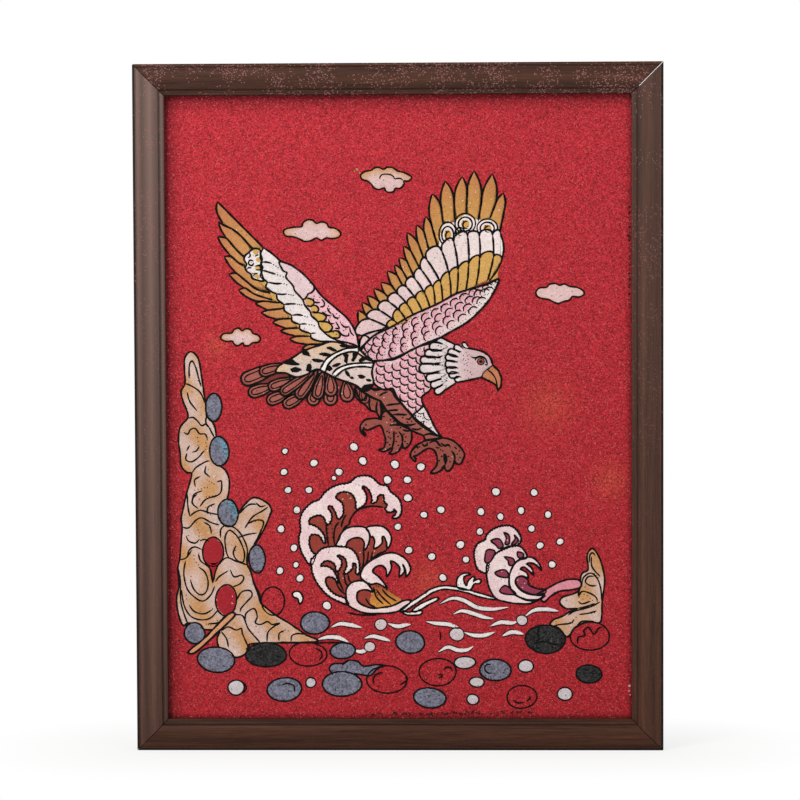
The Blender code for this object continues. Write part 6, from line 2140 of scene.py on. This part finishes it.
def makeRail(side, plan):
    section = railSection(plan)
    out, depth = section[:, 0] * mm, section[:, 1] * mm
    front = depth < plan["jointFrom"] * mm
    joint = depth + np.where(front, plan["jointDepth"] * mm, 0.0)
    inset = np.array([plan["setback"], plan["jointWidth"]]) * mm
    level = side in ("top", "bottom")
    length = sightRight - sightLeft if level else sightTop - sightBottom
    middle = (sightRight + sightLeft) / 2 if level else (sightTop + sightBottom) / 2
    ends = [(-length / 2 - out + inset[0], joint), (-length / 2 - out + inset[1], depth),
            (length / 2 + out - inset[1], depth), (length / 2 + out - inset[0], joint)]
    along = np.stack([middle + end[0] for end in ends])
    deep = np.stack([end[1] for end in ends])
    away = np.broadcast_to(out, along.shape)
    edge = {"top": sightTop, "bottom": sightBottom, "left": sightLeft, "right": sightRight}[side]
    if level:
        points = np.stack([along, deep, edge + (away if side == "top" else -away)], axis=-1)
    else:
        points = np.stack([edge + (away if side == "right" else -away), deep, along], axis=-1)
    rows, columns = along.shape
    faces = gridFaces(rows, columns, wrap=True)
    faces += [list(range(columns)), list(range(rows * columns - columns, rows * columns))]
    mesh = bpy.data.meshes.new(f"carved_rail_{side}")
    mesh.from_pydata(points.reshape(-1, 3).tolist(), [], faces)
    shape = bmesh.new()
    shape.from_mesh(mesh)
    bmesh.ops.recalc_face_normals(shape, faces=shape.faces)
    shape.to_mesh(mesh)
    shape.free()
    mesh.shade_smooth()
    mesh.set_sharp_from_angle(angle=math.radians(plan["crispAngle"]))
    mesh.materials.append(railFinish[f"frame_rail_{side}"])
    rail = placeObject(f"carved_rail_{side}", mesh)
    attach(rail, "root")
    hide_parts(f"frame_rail_{side}")


for railSide in ("top", "bottom", "left", "right"):
    makeRail(railSide, railPlan)
print("rails made")


# The back: boards of pressed fibre, and zinc-coated steel fittings
def fibreMaterial(name, pale, dark, sheen):
    made, tree, shader = blankMaterial(name)
    place = addNode(tree, "ShaderNodeTexCoord").outputs["Object"]
    broad = noiseNode(tree, place, 60.0, 5.0, Roughness=0.7)
    fibres = noiseNode(tree, place, 1400.0, 3.0, Distortion=1.2)
    tone = mathNode(tree, "ADD", mathNode(tree, "MULTIPLY", broad, 0.45),
                    mathNode(tree, "MULTIPLY", fibres, 0.55))
    colour = mixNode(tree, spreadNode(tree, tone, (0.35, 0.65)), dark, pale)
    bump = addNode(tree, "ShaderNodeBump", Strength=0.35, Distance=0.0002, Height=fibres)
    tree.links.new(colour, shader.inputs["Base Color"])
    tree.links.new(bump.outputs["Normal"], shader.inputs["Normal"])
    shader.inputs["Roughness"].default_value = sheen
    return made


def steelMaterial(name):
    # Zinc over steel: pale and dark spangles, scuffed along the length.
    made, tree, shader = blankMaterial(name)
    place = addNode(tree, "ShaderNodeTexCoord").outputs["Object"]
    spangles = addNode(tree, "ShaderNodeTexVoronoi", {"feature": "F1"}, Vector=place, Scale=700.0)
    spangleTone = addNode(tree, "ShaderNodeSeparateColor", Color=spangles.outputs["Color"])
    scuffs = noiseNode(tree, place, 2600.0, 4.0)
    colour = mixNode(tree, spangleTone.outputs["Red"], (0.42, 0.43, 0.45), (0.62, 0.63, 0.65))
    rough = spreadNode(tree, scuffs, (0.3, 0.7), (0.28, 0.5))
    bump = addNode(tree, "ShaderNodeBump", Strength=0.15, Distance=0.0001, Height=scuffs)
    joinFinish(tree, shader, colour, rough, bump.outputs["Normal"])
    shader.inputs["Metallic"].default_value = 1.0
    return made


dress("picture_board", fibreMaterial("picture_board_fibre", (0.42, 0.3, 0.19), (0.26, 0.17, 0.1), 0.8))
dress("backing_board", fibreMaterial("backing_board_fibre", (0.22, 0.12, 0.06), (0.12, 0.06, 0.03), 0.6))
zincSteel = steelMaterial("zinc_steel")
tabs = [tab for side in ("top", "right", "bottom", "left") for tab in numbered(f"back_tab_{side}", 2)]
for fitting in ["hanger_strip"] + numbered("hanger_nail", 2) + tabs:
    dress(fitting, zincSteel)
print("back dressed")


print("all pieces made")
